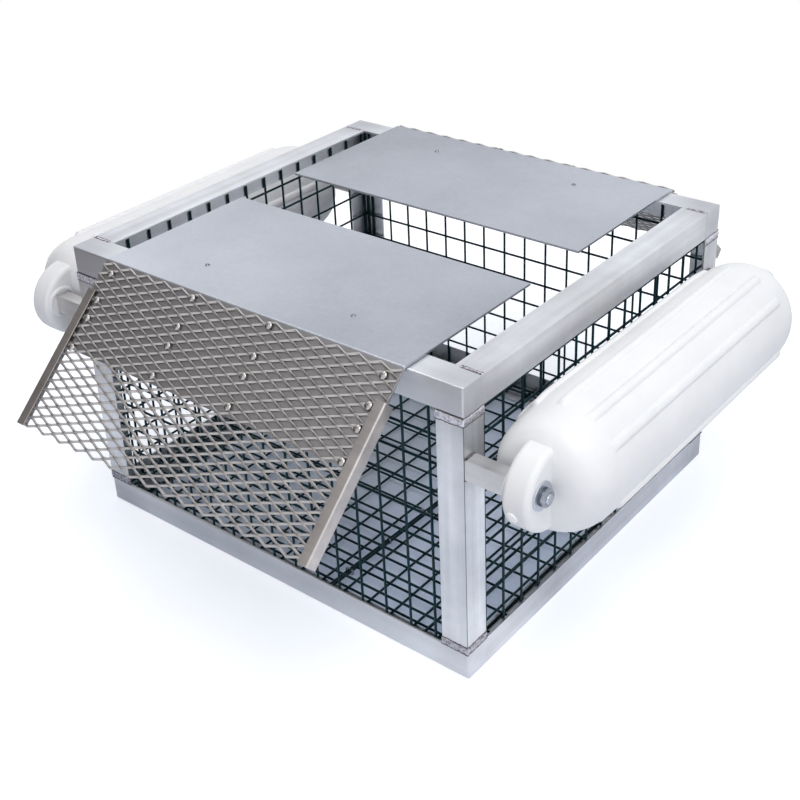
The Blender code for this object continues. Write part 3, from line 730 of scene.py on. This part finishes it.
def run_together(piece, addition, material):
    """Join a closed shape to a piece that it overlaps, so that both have one skin."""
    extra = show("addition", addition, material)
    union = piece.modifiers.new("union", "BOOLEAN")
    union.operation = "UNION"
    union.solver = "EXACT"
    union.object = extra
    graph = bpy.context.evaluated_depsgraph_get()
    skin = bpy.data.meshes.new_from_object(piece.evaluated_get(graph))
    piece.modifiers.clear()
    bpy.data.objects.remove(extra)
    joined = bmesh.new()
    joined.from_mesh(skin)
    bpy.data.meshes.remove(skin)
    bmesh.ops.remove_doubles(joined, verts=joined.verts, dist=0.02 * MM)
    joined.to_mesh(piece.data)
    joined.free()
    piece.data.shade_smooth()
    piece.data.set_sharp_from_angle(angle=math.radians(35))


for side, out_x in SIDES:
    shapes = [ribbed_barrel(), moulded_eye(-1), moulded_eye(1)]
    for shape in shapes:
        if out_x < 0:
            # The left fender is the right one, turned half round.
            half_round = Matrix.Rotation(math.pi, 3, "Z")
            bmesh.ops.rotate(shape, cent=(0, 0, 0), matrix=half_round, verts=shape.verts)
        middle = (out_x * FENDER_X, FENDER_MIDDLE, FENDER_Z)
        bmesh.ops.translate(shape, vec=middle, verts=shape.verts)
    fender = show(f"moulded_fender_{side}", shapes[0], vinyl)
    for eye in shapes[1:]:
        run_together(fender, eye, vinyl)
    even = fender.modifiers.new("flat_faces", "WEIGHTED_NORMAL")
    even.keep_sharp = True
    settle(fender, "frame", "white_vinyl", f"fender_{side}")


# Valve plugs.
# A domed white plastic button that closes the air hole in the rim of one eye.
PLUG_RADIUS = 7.5 * MM
PLUG_RISE = 2.6 * MM
PLUG_DEPTH = 7 * MM
PLUG_WALL = 0.5 * MM
PLUG_ANGLE = math.radians(-19)
PLUG_OFF_MIDDLE = -4 * MM

# The plastic is hard and glossier than the fender, with tool marks drawn 3 mm wide to show.
valve_plastic = patchy_skin(
    "white_valve_plastic",
    ("#f8f8f7", "#fdfdfc"),
    (300.0, 3.0),
    (0.0, 1.0),
    (0.2, 0.34),
    None,
    {"IOR": 1.49},
)


def turned(profile, sides, middle, axis):
    """A turned part from (radius, height) points along an axis through its middle."""
    shape = bmesh.new()
    axis = Vector(axis)
    side = axis.orthogonal().normalized()
    points = [Vector(middle) + side * radius + axis * height for radius, height in profile]
    spin_about(shape, add_outline(shape, points, closed=True), middle, axis, sides)
    bmesh.ops.remove_doubles(shape, verts=shape.verts, dist=0.005 * MM)
    bmesh.ops.recalc_face_normals(shape, faces=shape.faces)
    return shape


for side, out_x in SIDES:
    out_y = -out_x
    off = Vector((0, out_y * math.cos(PLUG_ANGLE), math.sin(PLUG_ANGLE)))
    reach = EYE_MIDDLE + EYE_REACH * math.cos(PLUG_ANGLE)
    seat_x = out_x * (FENDER_X + PLUG_OFF_MIDDLE)
    seat_z = FENDER_Z + EYE_HALF_HEIGHT * math.sin(PLUG_ANGLE)
    seat = Vector((seat_x, FENDER_MIDDLE + out_y * reach, seat_z))
    profile = [(0, -PLUG_DEPTH), (PLUG_RADIUS, -PLUG_DEPTH), (PLUG_RADIUS, PLUG_WALL)]
    for step in range(1, 8):
        turn = math.pi / 2 * step / 7
        rise = (PLUG_RISE - PLUG_WALL) * math.sin(turn)
        profile.append((PLUG_RADIUS * math.cos(turn), PLUG_WALL + rise))
    plug = show(f"valve_plug_{side}", turned(profile, 32, seat, off), valve_plastic)
    settle(plug, "frame", "white_vinyl", f"valve_{side}")


# Studs, washers and nuts.
# A half-inch zinc-plated stud in each arm takes the fender's eye, then a large
# washer, a split lock washer and a hex nut. The eye has a moulded lip on the arm's side.
STUD_RADIUS = 6.35 * MM
HOLE = STUD_RADIUS + 0.3 * MM
WASHER_RADIUS = 17.2 * MM
WASHER_THICK = 1.8 * MM
WASHER_CHAMFER = 0.4 * MM
LOCK_RADIUS = 10.9 * MM
LOCK_THICK = 2.2 * MM
LOCK_CHAMFER = 0.3 * MM
LOCK_GAP = 0.05 * MM
NUT_HALF = 9.5 * MM
NUT_RADIUS = 19 * MM / math.sqrt(3)
NUT_SIDE = NUT_RADIUS - 0.2 * MM
NUT_BORE = HOLE - 0.5 * MM
NUT_CROWN = 0.3 * MM
THREAD_PITCH = 1.95 * MM
THREAD_ROOT = STUD_RADIUS - 0.9 * MM
LIP_RADII = (17.2 * MM, 18.4 * MM, 20.6 * MM, 22.4 * MM)
LIP_RISE = 2.4 * MM
LIP_SINK = 0.5 * MM


def washer_profile(radius, face, thick, chamfer):
    """A flat washer's section from its hole out, its outer edge broken on one side."""
    top = face + thick
    edge = [(radius, face), (radius, top - chamfer), (radius - chamfer, top)]
    return [(HOLE, face), *edge, (HOLE, top)]


stud_zinc = bright_zinc("bright_zinc_plate", "#d6dbe3", "#a2a9b5", 0.24)
nut_zinc = bright_zinc("greased_zinc_plate", "#c6cad1", "#7e838c", 0.28)
lock_zinc = bright_zinc("dark_spring_steel", "#7c8088", "#53565d", 0.36)
washer_zinc = bright_zinc("dull_zinc_plate", "#dfe4ec", "#b4bcc8", 0.34)
for corner, out_x, _ in CORNERS:
    out = Vector((out_x, 0, 0))
    low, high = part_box(f"washer_{corner}")
    face = low.x if out_x > 0 else -high.x
    middle = Vector((0, (low.y + high.y) / 2, (low.z + high.z) / 2))
    lip = [
        (LIP_RADII[0], EYE_INNER + LIP_SINK),
        (LIP_RADII[0], EYE_INNER - LIP_RISE * 0.6),
        (LIP_RADII[1], EYE_INNER - LIP_RISE),
        (LIP_RADII[2], EYE_INNER - LIP_RISE),
        (LIP_RADII[3], EYE_INNER - LIP_RISE * 0.5),
        (LIP_RADII[3] + 0.6 * MM, EYE_INNER + LIP_SINK),
    ]
    piece = show(f"eye_lip_{corner}", turned(lip, 48, middle, out), vinyl, 60)
    settle(piece, "frame", "white_vinyl")
    profile = washer_profile(WASHER_RADIUS, face, WASHER_THICK, WASHER_CHAMFER)
    washer = show(f"large_washer_{corner}", turned(profile, 48, middle, out), washer_zinc)
    settle(washer, "frame", "zinc_steel", f"washer_{corner}")
    lock_face = face + WASHER_THICK
    section = (LOCK_RADIUS, lock_face + LOCK_GAP, LOCK_THICK - LOCK_GAP, LOCK_CHAMFER)
    profile = washer_profile(*section)
    lock = show(f"lock_washer_{corner}", turned(profile, 36, middle, out), lock_zinc)
    settle(lock, "frame", "zinc_steel")
    # The nut: a hexagon whose corners are turned off in a shallow cone.
    low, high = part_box(f"nut_{corner}")
    base = lock_face + LOCK_THICK + LOCK_GAP
    top = max(abs(low.x), abs(high.x)) + NUT_CROWN
    profile = [
        (NUT_BORE, base),
        (NUT_RADIUS - MM, base),
        (NUT_SIDE, base + 0.6 * MM),
        (NUT_SIDE, top - 0.9 * MM),
        (NUT_RADIUS * 0.86, top),
        (HOLE + 0.6 * MM, top),
        (NUT_BORE, top - 0.8 * MM),
    ]
    shape = turned(profile, 72, middle, out)
    for step in range(6):
        angle = math.tau * (step + 0.5) / 6
        flat = Vector((0, math.cos(angle), math.sin(angle)))
        bmesh.ops.bisect_plane(
            shape,
            geom=shape.verts[:] + shape.edges[:] + shape.faces[:],
            plane_co=middle + flat * NUT_HALF,
            plane_no=flat,
            clear_outer=True,
        )
        bmesh.ops.holes_fill(shape, edges=[e for e in shape.edges if e.is_boundary])
    bmesh.ops.recalc_face_normals(shape, faces=shape.faces)
    nut = show(f"hex_nut_{corner}", shape, nut_zinc, 28)
    settle(nut, "frame", "zinc_steel", f"nut_{corner}")
    # The stud: cut threads show on the end that stands out of the nut.
    low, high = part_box(f"stud_{corner}")
    foot, tip = sorted((abs(low.x), abs(high.x)))
    profile = [(0, foot), (STUD_RADIUS, foot), (STUD_RADIUS, base)]
    height = base
    while height + THREAD_PITCH < tip - 0.6 * MM:
        profile.append((THREAD_ROOT, height + THREAD_PITCH / 2))
        height += THREAD_PITCH
        profile.append((STUD_RADIUS, height))
    profile += [(THREAD_ROOT, tip), (0, tip)]
    stud = show(f"threaded_stud_{corner}", turned(profile, 36, middle, out), stud_zinc, 40)
    settle(stud, "frame", "zinc_steel", f"stud_{corner}")


# Tilting boards.
# One 3.2 mm aluminium sheet each: a flat board over the box, bent down 43 degrees
# outside it into an apron. It is plain mill sheet with its edges deburred.
SHEET_EDGE = 0.35 * MM
APRON_SHADE_FROM = 299 * MM
APRON_SHADE_FULL = 301 * MM


def mill_sheet():
    """Rolled sheet: even and satin, with faint rolling lines and hand marks, a painted reflection
    along each board and painted shade on its apron.
    """
    material, tree, shader, place = start_material("rolled_mill_sheet")
    # Rolling lines are finer than 1.2 mm apart, but drawn so that they show.
    stretch = (2.5, 1 / (1.2 * MM), 1 / (1.2 * MM))
    rolled = add_node(tree, "Mapping", {"Vector": place, "Scale": stretch})
    lines = add_node(tree, "TexNoise", {"Vector": rolled, **grain(1.0, 3.0, 0.6)})
    # Hand marks are clouds of about 180 mm, with a 6 mm speckle in them.
    clouds = add_node(tree, "TexNoise", {"Vector": place, **grain(5.5, 5.0, 0.55)})
    speckle = add_node(tree, "TexNoise", {"Vector": place, **grain(160.0, 3.0, 0.7)})
    mottle = add_node(tree, "Mix", {0: 0.3, 2: clouds, 3: speckle}, data_type="FLOAT")
    spread = add_node(tree, "MapRange", {"Value": mottle, **spans(0.35, 0.65)})
    # Painted reflection: each sheet's colour is a little lighter towards one end, the same way on
    # both boards.
    split = add_node(tree, "SeparateXYZ", {0: place})
    across, along = split.outputs[0], split.outputs[1]
    sideways = add_node(tree, "Math", {0: across, 1: along}, operation="MULTIPLY")
    painted_reflection = add_node(tree, "MapRange", {"Value": sideways, **spans(-0.04, 0.06, 0.0, 0.5)})
    tone = add_node(tree, "Math", {0: spread, 1: 0.3, 2: painted_reflection}, operation="MULTIPLY_ADD")
    skin = add_node(tree, "Mix", {0: tone, 6: "#a5a9b1", 7: "#dadee5"}, data_type="RGBA")
    # Painted shade and painted reflection: the apron, outside the fold, is coloured darker and
    # warmer, darkest towards the end where the board is painted lightest.
    off_middle = add_node(tree, "Math", {0: along}, operation="ABSOLUTE")
    edge = spans(APRON_SHADE_FROM, APRON_SHADE_FULL, 0.0, 0.8)
    apron_share = add_node(tree, "MapRange", {"Value": off_middle, **edge})
    painted_apron_shade = add_node(tree, "Mix", {0: painted_reflection, 6: "#aba7a5", 7: "#848183"}, data_type="RGBA")
    skin_and_painted_apron = add_node(tree, "Mix", {0: apron_share, 6: skin, 7: painted_apron_shade}, data_type="RGBA")
    gloss = add_node(tree, "MapRange", {"Value": lines, **spans(0.0, 1.0, 0.36, 0.5)})
    marks = relief(tree, (0.2, 0.02 * MM, lines), (0.4, 0.8 * MM, clouds))
    join(tree, shader, {"Metallic": 1.0, "Base Color": skin_and_painted_apron, "Roughness": gloss, "Normal": marks})
    return material


sheet = mill_sheet()
for end, _ in ENDS:
    shape = cad_copy(f"deck_{end}")
    break_edges(shape, SHEET_EDGE, sharper_than=60)
    board = show(f"tilting_board_{end}", shape, sheet, 25, True)
    settle(board, f"{end}_board", "sheet_aluminium", f"deck_{end}")


# Board screws.
# Two small cross-head screws hold each board to its pivot blocks.
SCREW_X = 121.5 * MM
SCREW_Y = 240 * MM
SCREW_HEAD = 3.4 * MM
SCREW_RISE = 1.5 * MM
CROSS_HALF = 0.6 * MM
CROSS_REACH = 2 * MM
CROSS_DEPTH = 1.2 * MM
screw_steel = bright_zinc("stainless_screw", "#b9bcc0", "#6f7276", 0.25)

for end, out_y in ENDS:
    low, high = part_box(f"deck_{end}")
    screws = bmesh.new()
    for side, out_x in SIDES:
        middle = Vector((out_x * SCREW_X, out_y * SCREW_Y, high.z))
        size = Matrix.Diagonal((SCREW_HEAD, SCREW_HEAD, SCREW_RISE, 1))
        place = Matrix.Translation(middle) @ size
        head = bmesh.ops.create_uvsphere(screws, u_segments=20, v_segments=10, radius=1, matrix=place)
        for vert in head["verts"]:
            drive = vert.co - middle
            reach = math.hypot(drive.x, drive.y)
            on_cross = min(abs(drive.x), abs(drive.y)) < CROSS_HALF and reach < CROSS_REACH
            if on_cross and drive.z > 0:
                vert.co.z -= CROSS_DEPTH
    piece = show(f"board_screws_{end}", screws, screw_steel, 50)
    settle(piece, f"{end}_board", "zinc_steel")


# Pivot blocks, pins and forks.
# Under each screw a drilled block turns on a pin held in a fork, which is welded
# below the rail. The fork's sloping tips stop the board when it has tipped.
BLOCK_EDGE = 0.5 * MM
PIN_EDGE = 0.2 * MM

for end, _ in ENDS:
    pieces = (
        ("pivot", "pivot_block", BLOCK_EDGE, arm_bar, True, f"{end}_board", "angle_aluminium"),
        ("fork", "fork_bracket", BLOCK_EDGE, arm_bar, True, "frame", "angle_aluminium"),
        ("pin", "pivot_pin", PIN_EDGE, stud_zinc, False, "frame", "zinc_steel"),
    )
    for side, _ in SIDES:
        for node, name, edge, metal, flat_sided, body, finish in pieces:
            shape = cad_copy(f"{node}_{end}_{side}")
            break_edges(shape, edge, sharper_than=60)
            piece = show(f"{name}_{end}_{side}", shape, metal, 35, flat_sided)
            settle(piece, body, finish, f"{node}_{end}_{side}")


# Ramps of raised expanded metal.
# Sheet slit and stretched into diamonds 31.6 mm long and 12.9 mm short. Every strand
# leans the same way, so one edge of it stands up and catches the light.
DIAMOND_LONG = 31.6 * MM
DIAMOND_SHORT = 12.9 * MM
STRAND_WIDE = 2.8 * MM
STRAND_THICK = 2.1 * MM
STRAND_LEAN = math.radians(38)
BOND = 0.08
RAMP_SLOPE = math.radians(43)
RAMP_HALF = 244 * MM
RAMP_TOP = -4 * MM
RAMP_FOOT = -240 * MM
RAMP_RISE = 1.8 * MM
FOLD_Y = 298.5 * MM
FOLD_Z = 409.6 * MM

# Its sheared faces are dull, its raised edges worn bright, in patches of about 17 mm. The
# fine grain is drawn 1.4 mm wide so that it shows.
expanded = patchy_skin(
    "raised_expanded_metal",
    ("#aca8a6", "#e2dfdd"),
    (60.0, 5.0, 0.65),
    (0.0, 1.0),
    (0.28, 0.48),
    ((700.0, 2.0), 0.4, 0.08 * MM),
    {"Metallic": 1.0},
)


def strand_wave(along):
    """How far a strand strays from its line, from -1 to 1, flat where two strands join."""
    share = (along / DIAMOND_LONG) % 1
    rise = abs(2 * share - 1)
    slope = min(1, max(0, (rise - BOND) / (1 - 2 * BOND)))
    return 2 * slope - 1


def expanded_sheet(place):
    """Strands across the ramp, each a leaning strip that swings between its neighbours."""
    shape = bmesh.new()
    step = DIAMOND_SHORT / 2
    swing = step / 2 - STRAND_WIDE * 0.25
    corner = Vector((RAMP_HALF, STRAND_WIDE / 2, STRAND_THICK / 2))
    pieces = round(2 * RAMP_HALF / DIAMOND_LONG * 12)
    for row in range(int((RAMP_TOP - RAMP_FOOT) / step)):
        middle = RAMP_TOP - step * (row + 0.5)
        flip = 1 if row % 2 else -1
        bar = block(-corner, corner)
        lengthwise = [edge for edge in bar.edges if edge.calc_length() > RAMP_HALF]
        bmesh.ops.subdivide_edges(bar, edges=lengthwise, cuts=pieces - 1)
        for vert in bar.verts:
            wave = strand_wave(vert.co.x + RAMP_HALF)
            wide, high = vert.co.y, vert.co.z
            vert.co.y = wide * math.cos(STRAND_LEAN) - high * math.sin(STRAND_LEAN)
            vert.co.z = wide * math.sin(STRAND_LEAN) + high * math.cos(STRAND_LEAN)
            vert.co.y += middle + flip * wave * swing
            vert.co.z += RAMP_RISE
        pour(bar, shape)
    bmesh.ops.transform(shape, matrix=place, verts=shape.verts)
    bmesh.ops.recalc_face_normals(shape, faces=shape.faces)
    return shape


def ramp_place(out_y):
    """From the ramp's own axes, across, up the slope and off its face, to the trap's."""
    up = Vector((0, -out_y * math.cos(RAMP_SLOPE), math.sin(RAMP_SLOPE)))
    off = Vector((0, out_y * math.sin(RAMP_SLOPE), math.cos(RAMP_SLOPE)))
    across = up.cross(off)
    place = Matrix((across, up, off)).transposed().to_4x4()
    place.translation = Vector((0, out_y * FOLD_Y, FOLD_Z))
    return place


for end, out_y in ENDS:
    ramp = show(f"expanded_ramp_{end}", expanded_sheet(ramp_place(out_y)), expanded, 40)
    settle(ramp, f"{end}_board", "sheet_aluminium", f"ramp_{end}")


# Ramp trims.
# Small aluminium angle over each side of the ramp. Its outer corner is well rounded
# and worn bright.
TRIM_CORNER = 2.3 * MM
TRIM_EDGE = 0.4 * MM
TRIM_NEAR = 0.1 * MM
trim_bar = mill_finish("trim_angle", "X", "#d0cac6", "#b3aeab", 0.34)

for end, out_y in ENDS:
    off_face = Vector((0, out_y * math.sin(RAMP_SLOPE), math.cos(RAMP_SLOPE)))
    for side, out_x in SIDES:
        node = f"trim_{end}_{side}"
        shape = cad_copy(node)
        outer_x = max(abs(vert.co.x) for vert in shape.verts)
        highest = max(vert.co.dot(off_face) for vert in shape.verts)
        break_edges(
            shape,
            TRIM_CORNER,
            lambda edge: all(
                abs(abs(vert.co.x) - outer_x) < TRIM_NEAR
                and abs(vert.co.dot(off_face) - highest) < TRIM_NEAR
                for vert in edge.verts
            ),
            sharper_than=60,
            steps=4,
        )
        break_edges(shape, TRIM_EDGE, sharper_than=60)
        trim = show(f"ramp_trim_{end}_{side}", shape, trim_bar, 60, True)
        settle(trim, f"{end}_board", "angle_aluminium", node)


# Ramp rivets.
# Blind rivets in four rows pin each ramp to its apron. The dome of each has the dark
# hole that its pulled stem has left.
RIVET_RADIUS = 4.9 * MM
RIVET_RISE = 1.8 * MM
RIVET_HOLE = 1.6 * MM
RIVET_SEAT = 3.2 * MM
RIVET_SHANK = 2.4 * MM
HOLE_FLOOR = RIVET_SEAT - 0.8 * MM
RIVET_COLUMNS = (-224 * MM, -78.5 * MM, 49.5 * MM, 225.5 * MM)
# How far down the slope each row's rivets lie, in mm.
RIVET_ROWS = (
    (18.5, 11.4, 10.1, 17.6),
    (56.4, 50.6, 50.3, 54.2),
    (82.4, 76.4, 76.2, 82.2),
    (124.1, 116.9, 115.3, 121.2),
)
rivet_metal = bright_zinc("rivet_aluminium", "#dddbd9", "#96928f", 0.24)

profile = [(0, 0), (RIVET_SHANK, 0), (RIVET_SHANK, RIVET_SEAT), (RIVET_RADIUS, RIVET_SEAT)]
for step in range(7):
    turn = math.radians(12 + 60 * step / 6)
    profile.append((RIVET_RADIUS * math.cos(turn), RIVET_SEAT + RIVET_RISE * math.sin(turn)))
profile += [(RIVET_HOLE, RIVET_SEAT + RIVET_RISE * 0.98), (RIVET_HOLE * 0.9, HOLE_FLOOR)]
profile += [(0, HOLE_FLOOR)]
for end, out_y in ENDS:
    place = ramp_place(out_y)
    rivets = bmesh.new()
    for row in RIVET_ROWS:
        for column, down in zip(RIVET_COLUMNS, row):
            rivet = turned(profile, 20, (0, 0, 0), (0, 0, 1))
            spot = Vector((column, -down * MM, 0))
            bmesh.ops.transform(rivet, matrix=place @ Matrix.Translation(spot), verts=rivet.verts)
            pour(rivet, rivets)
    settle(show(f"ramp_rivets_{end}", rivets, rivet_metal, 40), f"{end}_board", "zinc_steel")


# Floor.
# A plain pale studio table, not part of the trap. Its colour is a painted pool of light
# that darkens to its rim, and it glows, though it is no lamp: outside the trap the camera
# and the metal see it white. Inside, in the trap's own shade, it keeps the light that
# reaches it, but its colour is painted darker and cool, and its glow is weaker.
TABLE_RADIUS = 1.1
TABLE_DROP = 0.3 * MM
SHADED = (305 * MM, 281 * MM, 0)
SHADE_EDGE = 8 * MM
NEAR_PAINTED_GLOW = (370 * MM, -270 * MM, 0)
FAR_PAINTED_GLOW = (900 * MM, -700 * MM, 0)


def table_with_painted_light():
    """Matt pale laminate with a painted pool of light, painted cool shade inside the basket, and a
    glow that only the camera and the metal see.
    """
    material, tree, shader, place = start_material("table_with_painted_light")
    paint = add_node(tree, "TexNoise", {"Vector": place, **grain(2.0, 2.0)})
    middle = add_node(tree, "Mix", {0: paint, 6: "#e0e6f2", 7: "#e3e8f3"}, data_type="RGBA")
    # Painted light: the colour darkens from the middle to the rim, as a pool of light would.
    radius = add_node(tree, "VectorMath", {0: place}, operation="LENGTH")
    outward = {"Value": radius, **spans(0.62, 1.08)}
    rim = add_node(tree, "MapRange", outward, interpolation_type="SMOOTHSTEP")
    lit = add_node(tree, "Mix", {0: rim, 6: middle, 7: "#a3a4aa"}, data_type="RGBA")
    # Painted shade: inside the basket the colour is darker and cool. Its edge lies under the bottom
    # rails.
    folded = add_node(tree, "VectorMath", {0: place}, operation="ABSOLUTE")
    inset = add_node(tree, "VectorMath", {0: folded, 1: SHADED}, operation="SUBTRACT")
    split = add_node(tree, "SeparateXYZ", {0: inset})
    beyond = add_node(tree, "Math", {0: split.outputs[0], 1: split.outputs[1]}, operation="MAXIMUM")
    outside = add_node(tree, "MapRange", {"Value": beyond, **spans(-SHADE_EDGE, SHADE_EDGE)})
    skin = add_node(tree, "Mix", {0: outside, 6: "#c6cdd8", 7: lit}, data_type="RGBA")
    # Painted reflection: a glow that only the metal sees, a pool that is weaker on the left
    # and strongest beside the near corner. A second bright patch farther out shows as a
    # painted highlight along the ground corners.
    across = add_node(tree, "SeparateXYZ", {0: place}).outputs[0]
    sides = spans(-150 * MM, 170 * MM, 0.08, 0.18)
    stronger = add_node(tree, "MapRange", {"Value": across, **sides})
    pool = add_node(tree, "MapRange", {"Value": rim, **spans(0.0, 1.0, stronger, 0.0)})
    strongest = fade(tree, place, NEAR_PAINTED_GLOW, 0.03, 0.19, 0.4)
    patch = fade(tree, place, FAR_PAINTED_GLOW, 0.15, 0.4, 1.3)
    near = add_node(tree, "Math", {0: pool, 1: strongest}, operation="ADD")
    bright = add_node(tree, "Math", {0: near, 1: patch}, operation="ADD")
    seen = add_node(tree, "LightPath").outputs
    rays = {0: seen["Is Glossy Ray"], 1: seen["Is Transmission Ray"]}
    by_metal = add_node(tree, "Math", rays, operation="MAXIMUM")
    in_metal = add_node(tree, "Math", {0: by_metal, 1: bright}, operation="MULTIPLY")
    # A glow that only the camera sees, painted light that makes the floor go on to white.
    far = add_node(tree, "MapRange", {"Value": rim, **spans(0.0, 1.0, 0.5, 0.9)})
    in_camera = add_node(tree, "Math", {0: seen["Is Camera Ray"], 1: far}, operation="MULTIPLY")
    either = add_node(tree, "Math", {0: in_metal, 1: in_camera}, operation="ADD")
    # Painted shade inside the basket: the glow is weaker there, and weakest on the left, where less
    # light comes in under the boards.
    sides = spans(-60 * MM, 130 * MM, 0.1, 0.42)
    painted_inside_glow = add_node(tree, "MapRange", {"Value": across, **sides})
    share = add_node(tree, "MapRange", {"Value": outside, **spans(0.0, 1.0, painted_inside_glow)})
    glow = add_node(tree, "Math", {0: either, 1: share}, operation="MULTIPLY")
    shade = add_node(tree, "Mix", {0: outside, 6: "#c6d9ff", 7: "#ffffff"}, data_type="RGBA")
    join(tree, shader, {"Base Color": skin, "Roughness": 0.9})
    join(tree, shader, {"Emission Color": shade, "Emission Strength": glow})
    return material


ground = bmesh.new()
bmesh.ops.create_circle(ground, cap_ends=True, segments=96, radius=TABLE_RADIUS)
bmesh.ops.translate(ground, vec=(0, 0, -TABLE_DROP), verts=ground.verts)
table = show("table_with_painted_light", ground, table_with_painted_light())


# Light.
# A pale room that is dim low down on its front left, which the ramp reflects, with
# three softboxes: overhead, above the near corner and on the right.
DIM_WAY = (-0.95, -0.46, 0.15)
DIM_SHAPE = (1, 1, 0.6)
# Each softbox's name, place, aim, size, power and tint.
SOFTBOXES = (
    ("overhead_softbox", (-0.75, 0.15, 2.1), (0, 0, 0.3), (0.5, 0.5), 4, "#fffdf8"),
    ("key_softbox", (0.9, -0.6, 2.3), (0.1, 0, 0.3), (1.0, 1.0), 14, "#fffefb"),
    ("right_softbox", (1.75, -0.8, 1.1), (0, 0, 0.25), (0.5, 0.8), 3, "#f6f8ff"),
)

world = bpy.data.worlds.new("pale_room")
bpy.context.scene.world = world
world.use_nodes = True
room = world.node_tree
room.nodes.clear()
way = add_node(room, "TexCoord").outputs["Generated"]
from_dim = add_node(room, "VectorMath", {0: way, 1: DIM_WAY}, operation="SUBTRACT")
flatter = add_node(room, "VectorMath", {0: from_dim, 1: DIM_SHAPE}, operation="MULTIPLY")
away = add_node(room, "VectorMath", {0: flatter}, operation="LENGTH")
outward = {"Value": away, **spans(0.36, 0.7)}
brighter = add_node(room, "MapRange", outward, interpolation_type="SMOOTHSTEP")
walls = add_node(room, "Mix", {0: brighter, 6: "#574e4a", 7: "#f7f9fd"}, data_type="RGBA")
seen = add_node(room, "LightPath").outputs
strength = {"Value": seen["Is Glossy Ray"], **spans(0.0, 1.0, 0.81)}
by_metal = add_node(room, "MapRange", strength)
lit = add_node(room, "Background", {"Color": walls, "Strength": by_metal})
white = add_node(room, "Background", {"Color": "#ffffff", "Strength": 1.0})
mixed = add_node(room, "MixShader", {0: seen["Is Camera Ray"], 1: lit, 2: white})
add_node(room, "OutputWorld", {"Surface": mixed})

for name, spot, aim, size, power, tint in SOFTBOXES:
    lamp = bpy.data.lights.new(name, "AREA")
    lamp.shape = "RECTANGLE"
    lamp.size, lamp.size_y = size
    lamp.energy = power
    lamp.color = linear(tint)[:3]
    holder = bpy.data.objects.new(name, lamp)
    holder.location = spot
    holder.rotation_euler = (Vector(aim) - Vector(spot)).to_track_quat("-Z", "Y").to_euler()
    holder.visible_camera = False
    bpy.context.scene.collection.objects.link(holder)


# Camera.
# Solved from sixteen corners of the frame in the photograph.
lens = bpy.data.cameras.new("photo_camera")
lens.sensor_width = 36
lens.lens = 58.2307
lens.shift_x = -0.014569
lens.shift_y = -0.086456
lens.clip_start = 0.05
lens.clip_end = 60
camera = bpy.data.objects.new("photo_camera", lens)
camera.location = (1.01694, -1.22755, 1.10794)
camera.rotation_euler = [math.radians(turn) for turn in (61.5217, 2.038, 38.2194)]
bpy.context.scene.collection.objects.link(camera)
bpy.context.scene.camera = camera
bpy.context.scene.view_settings.view_transform = "Standard"

bpy.context.view_layer.update()
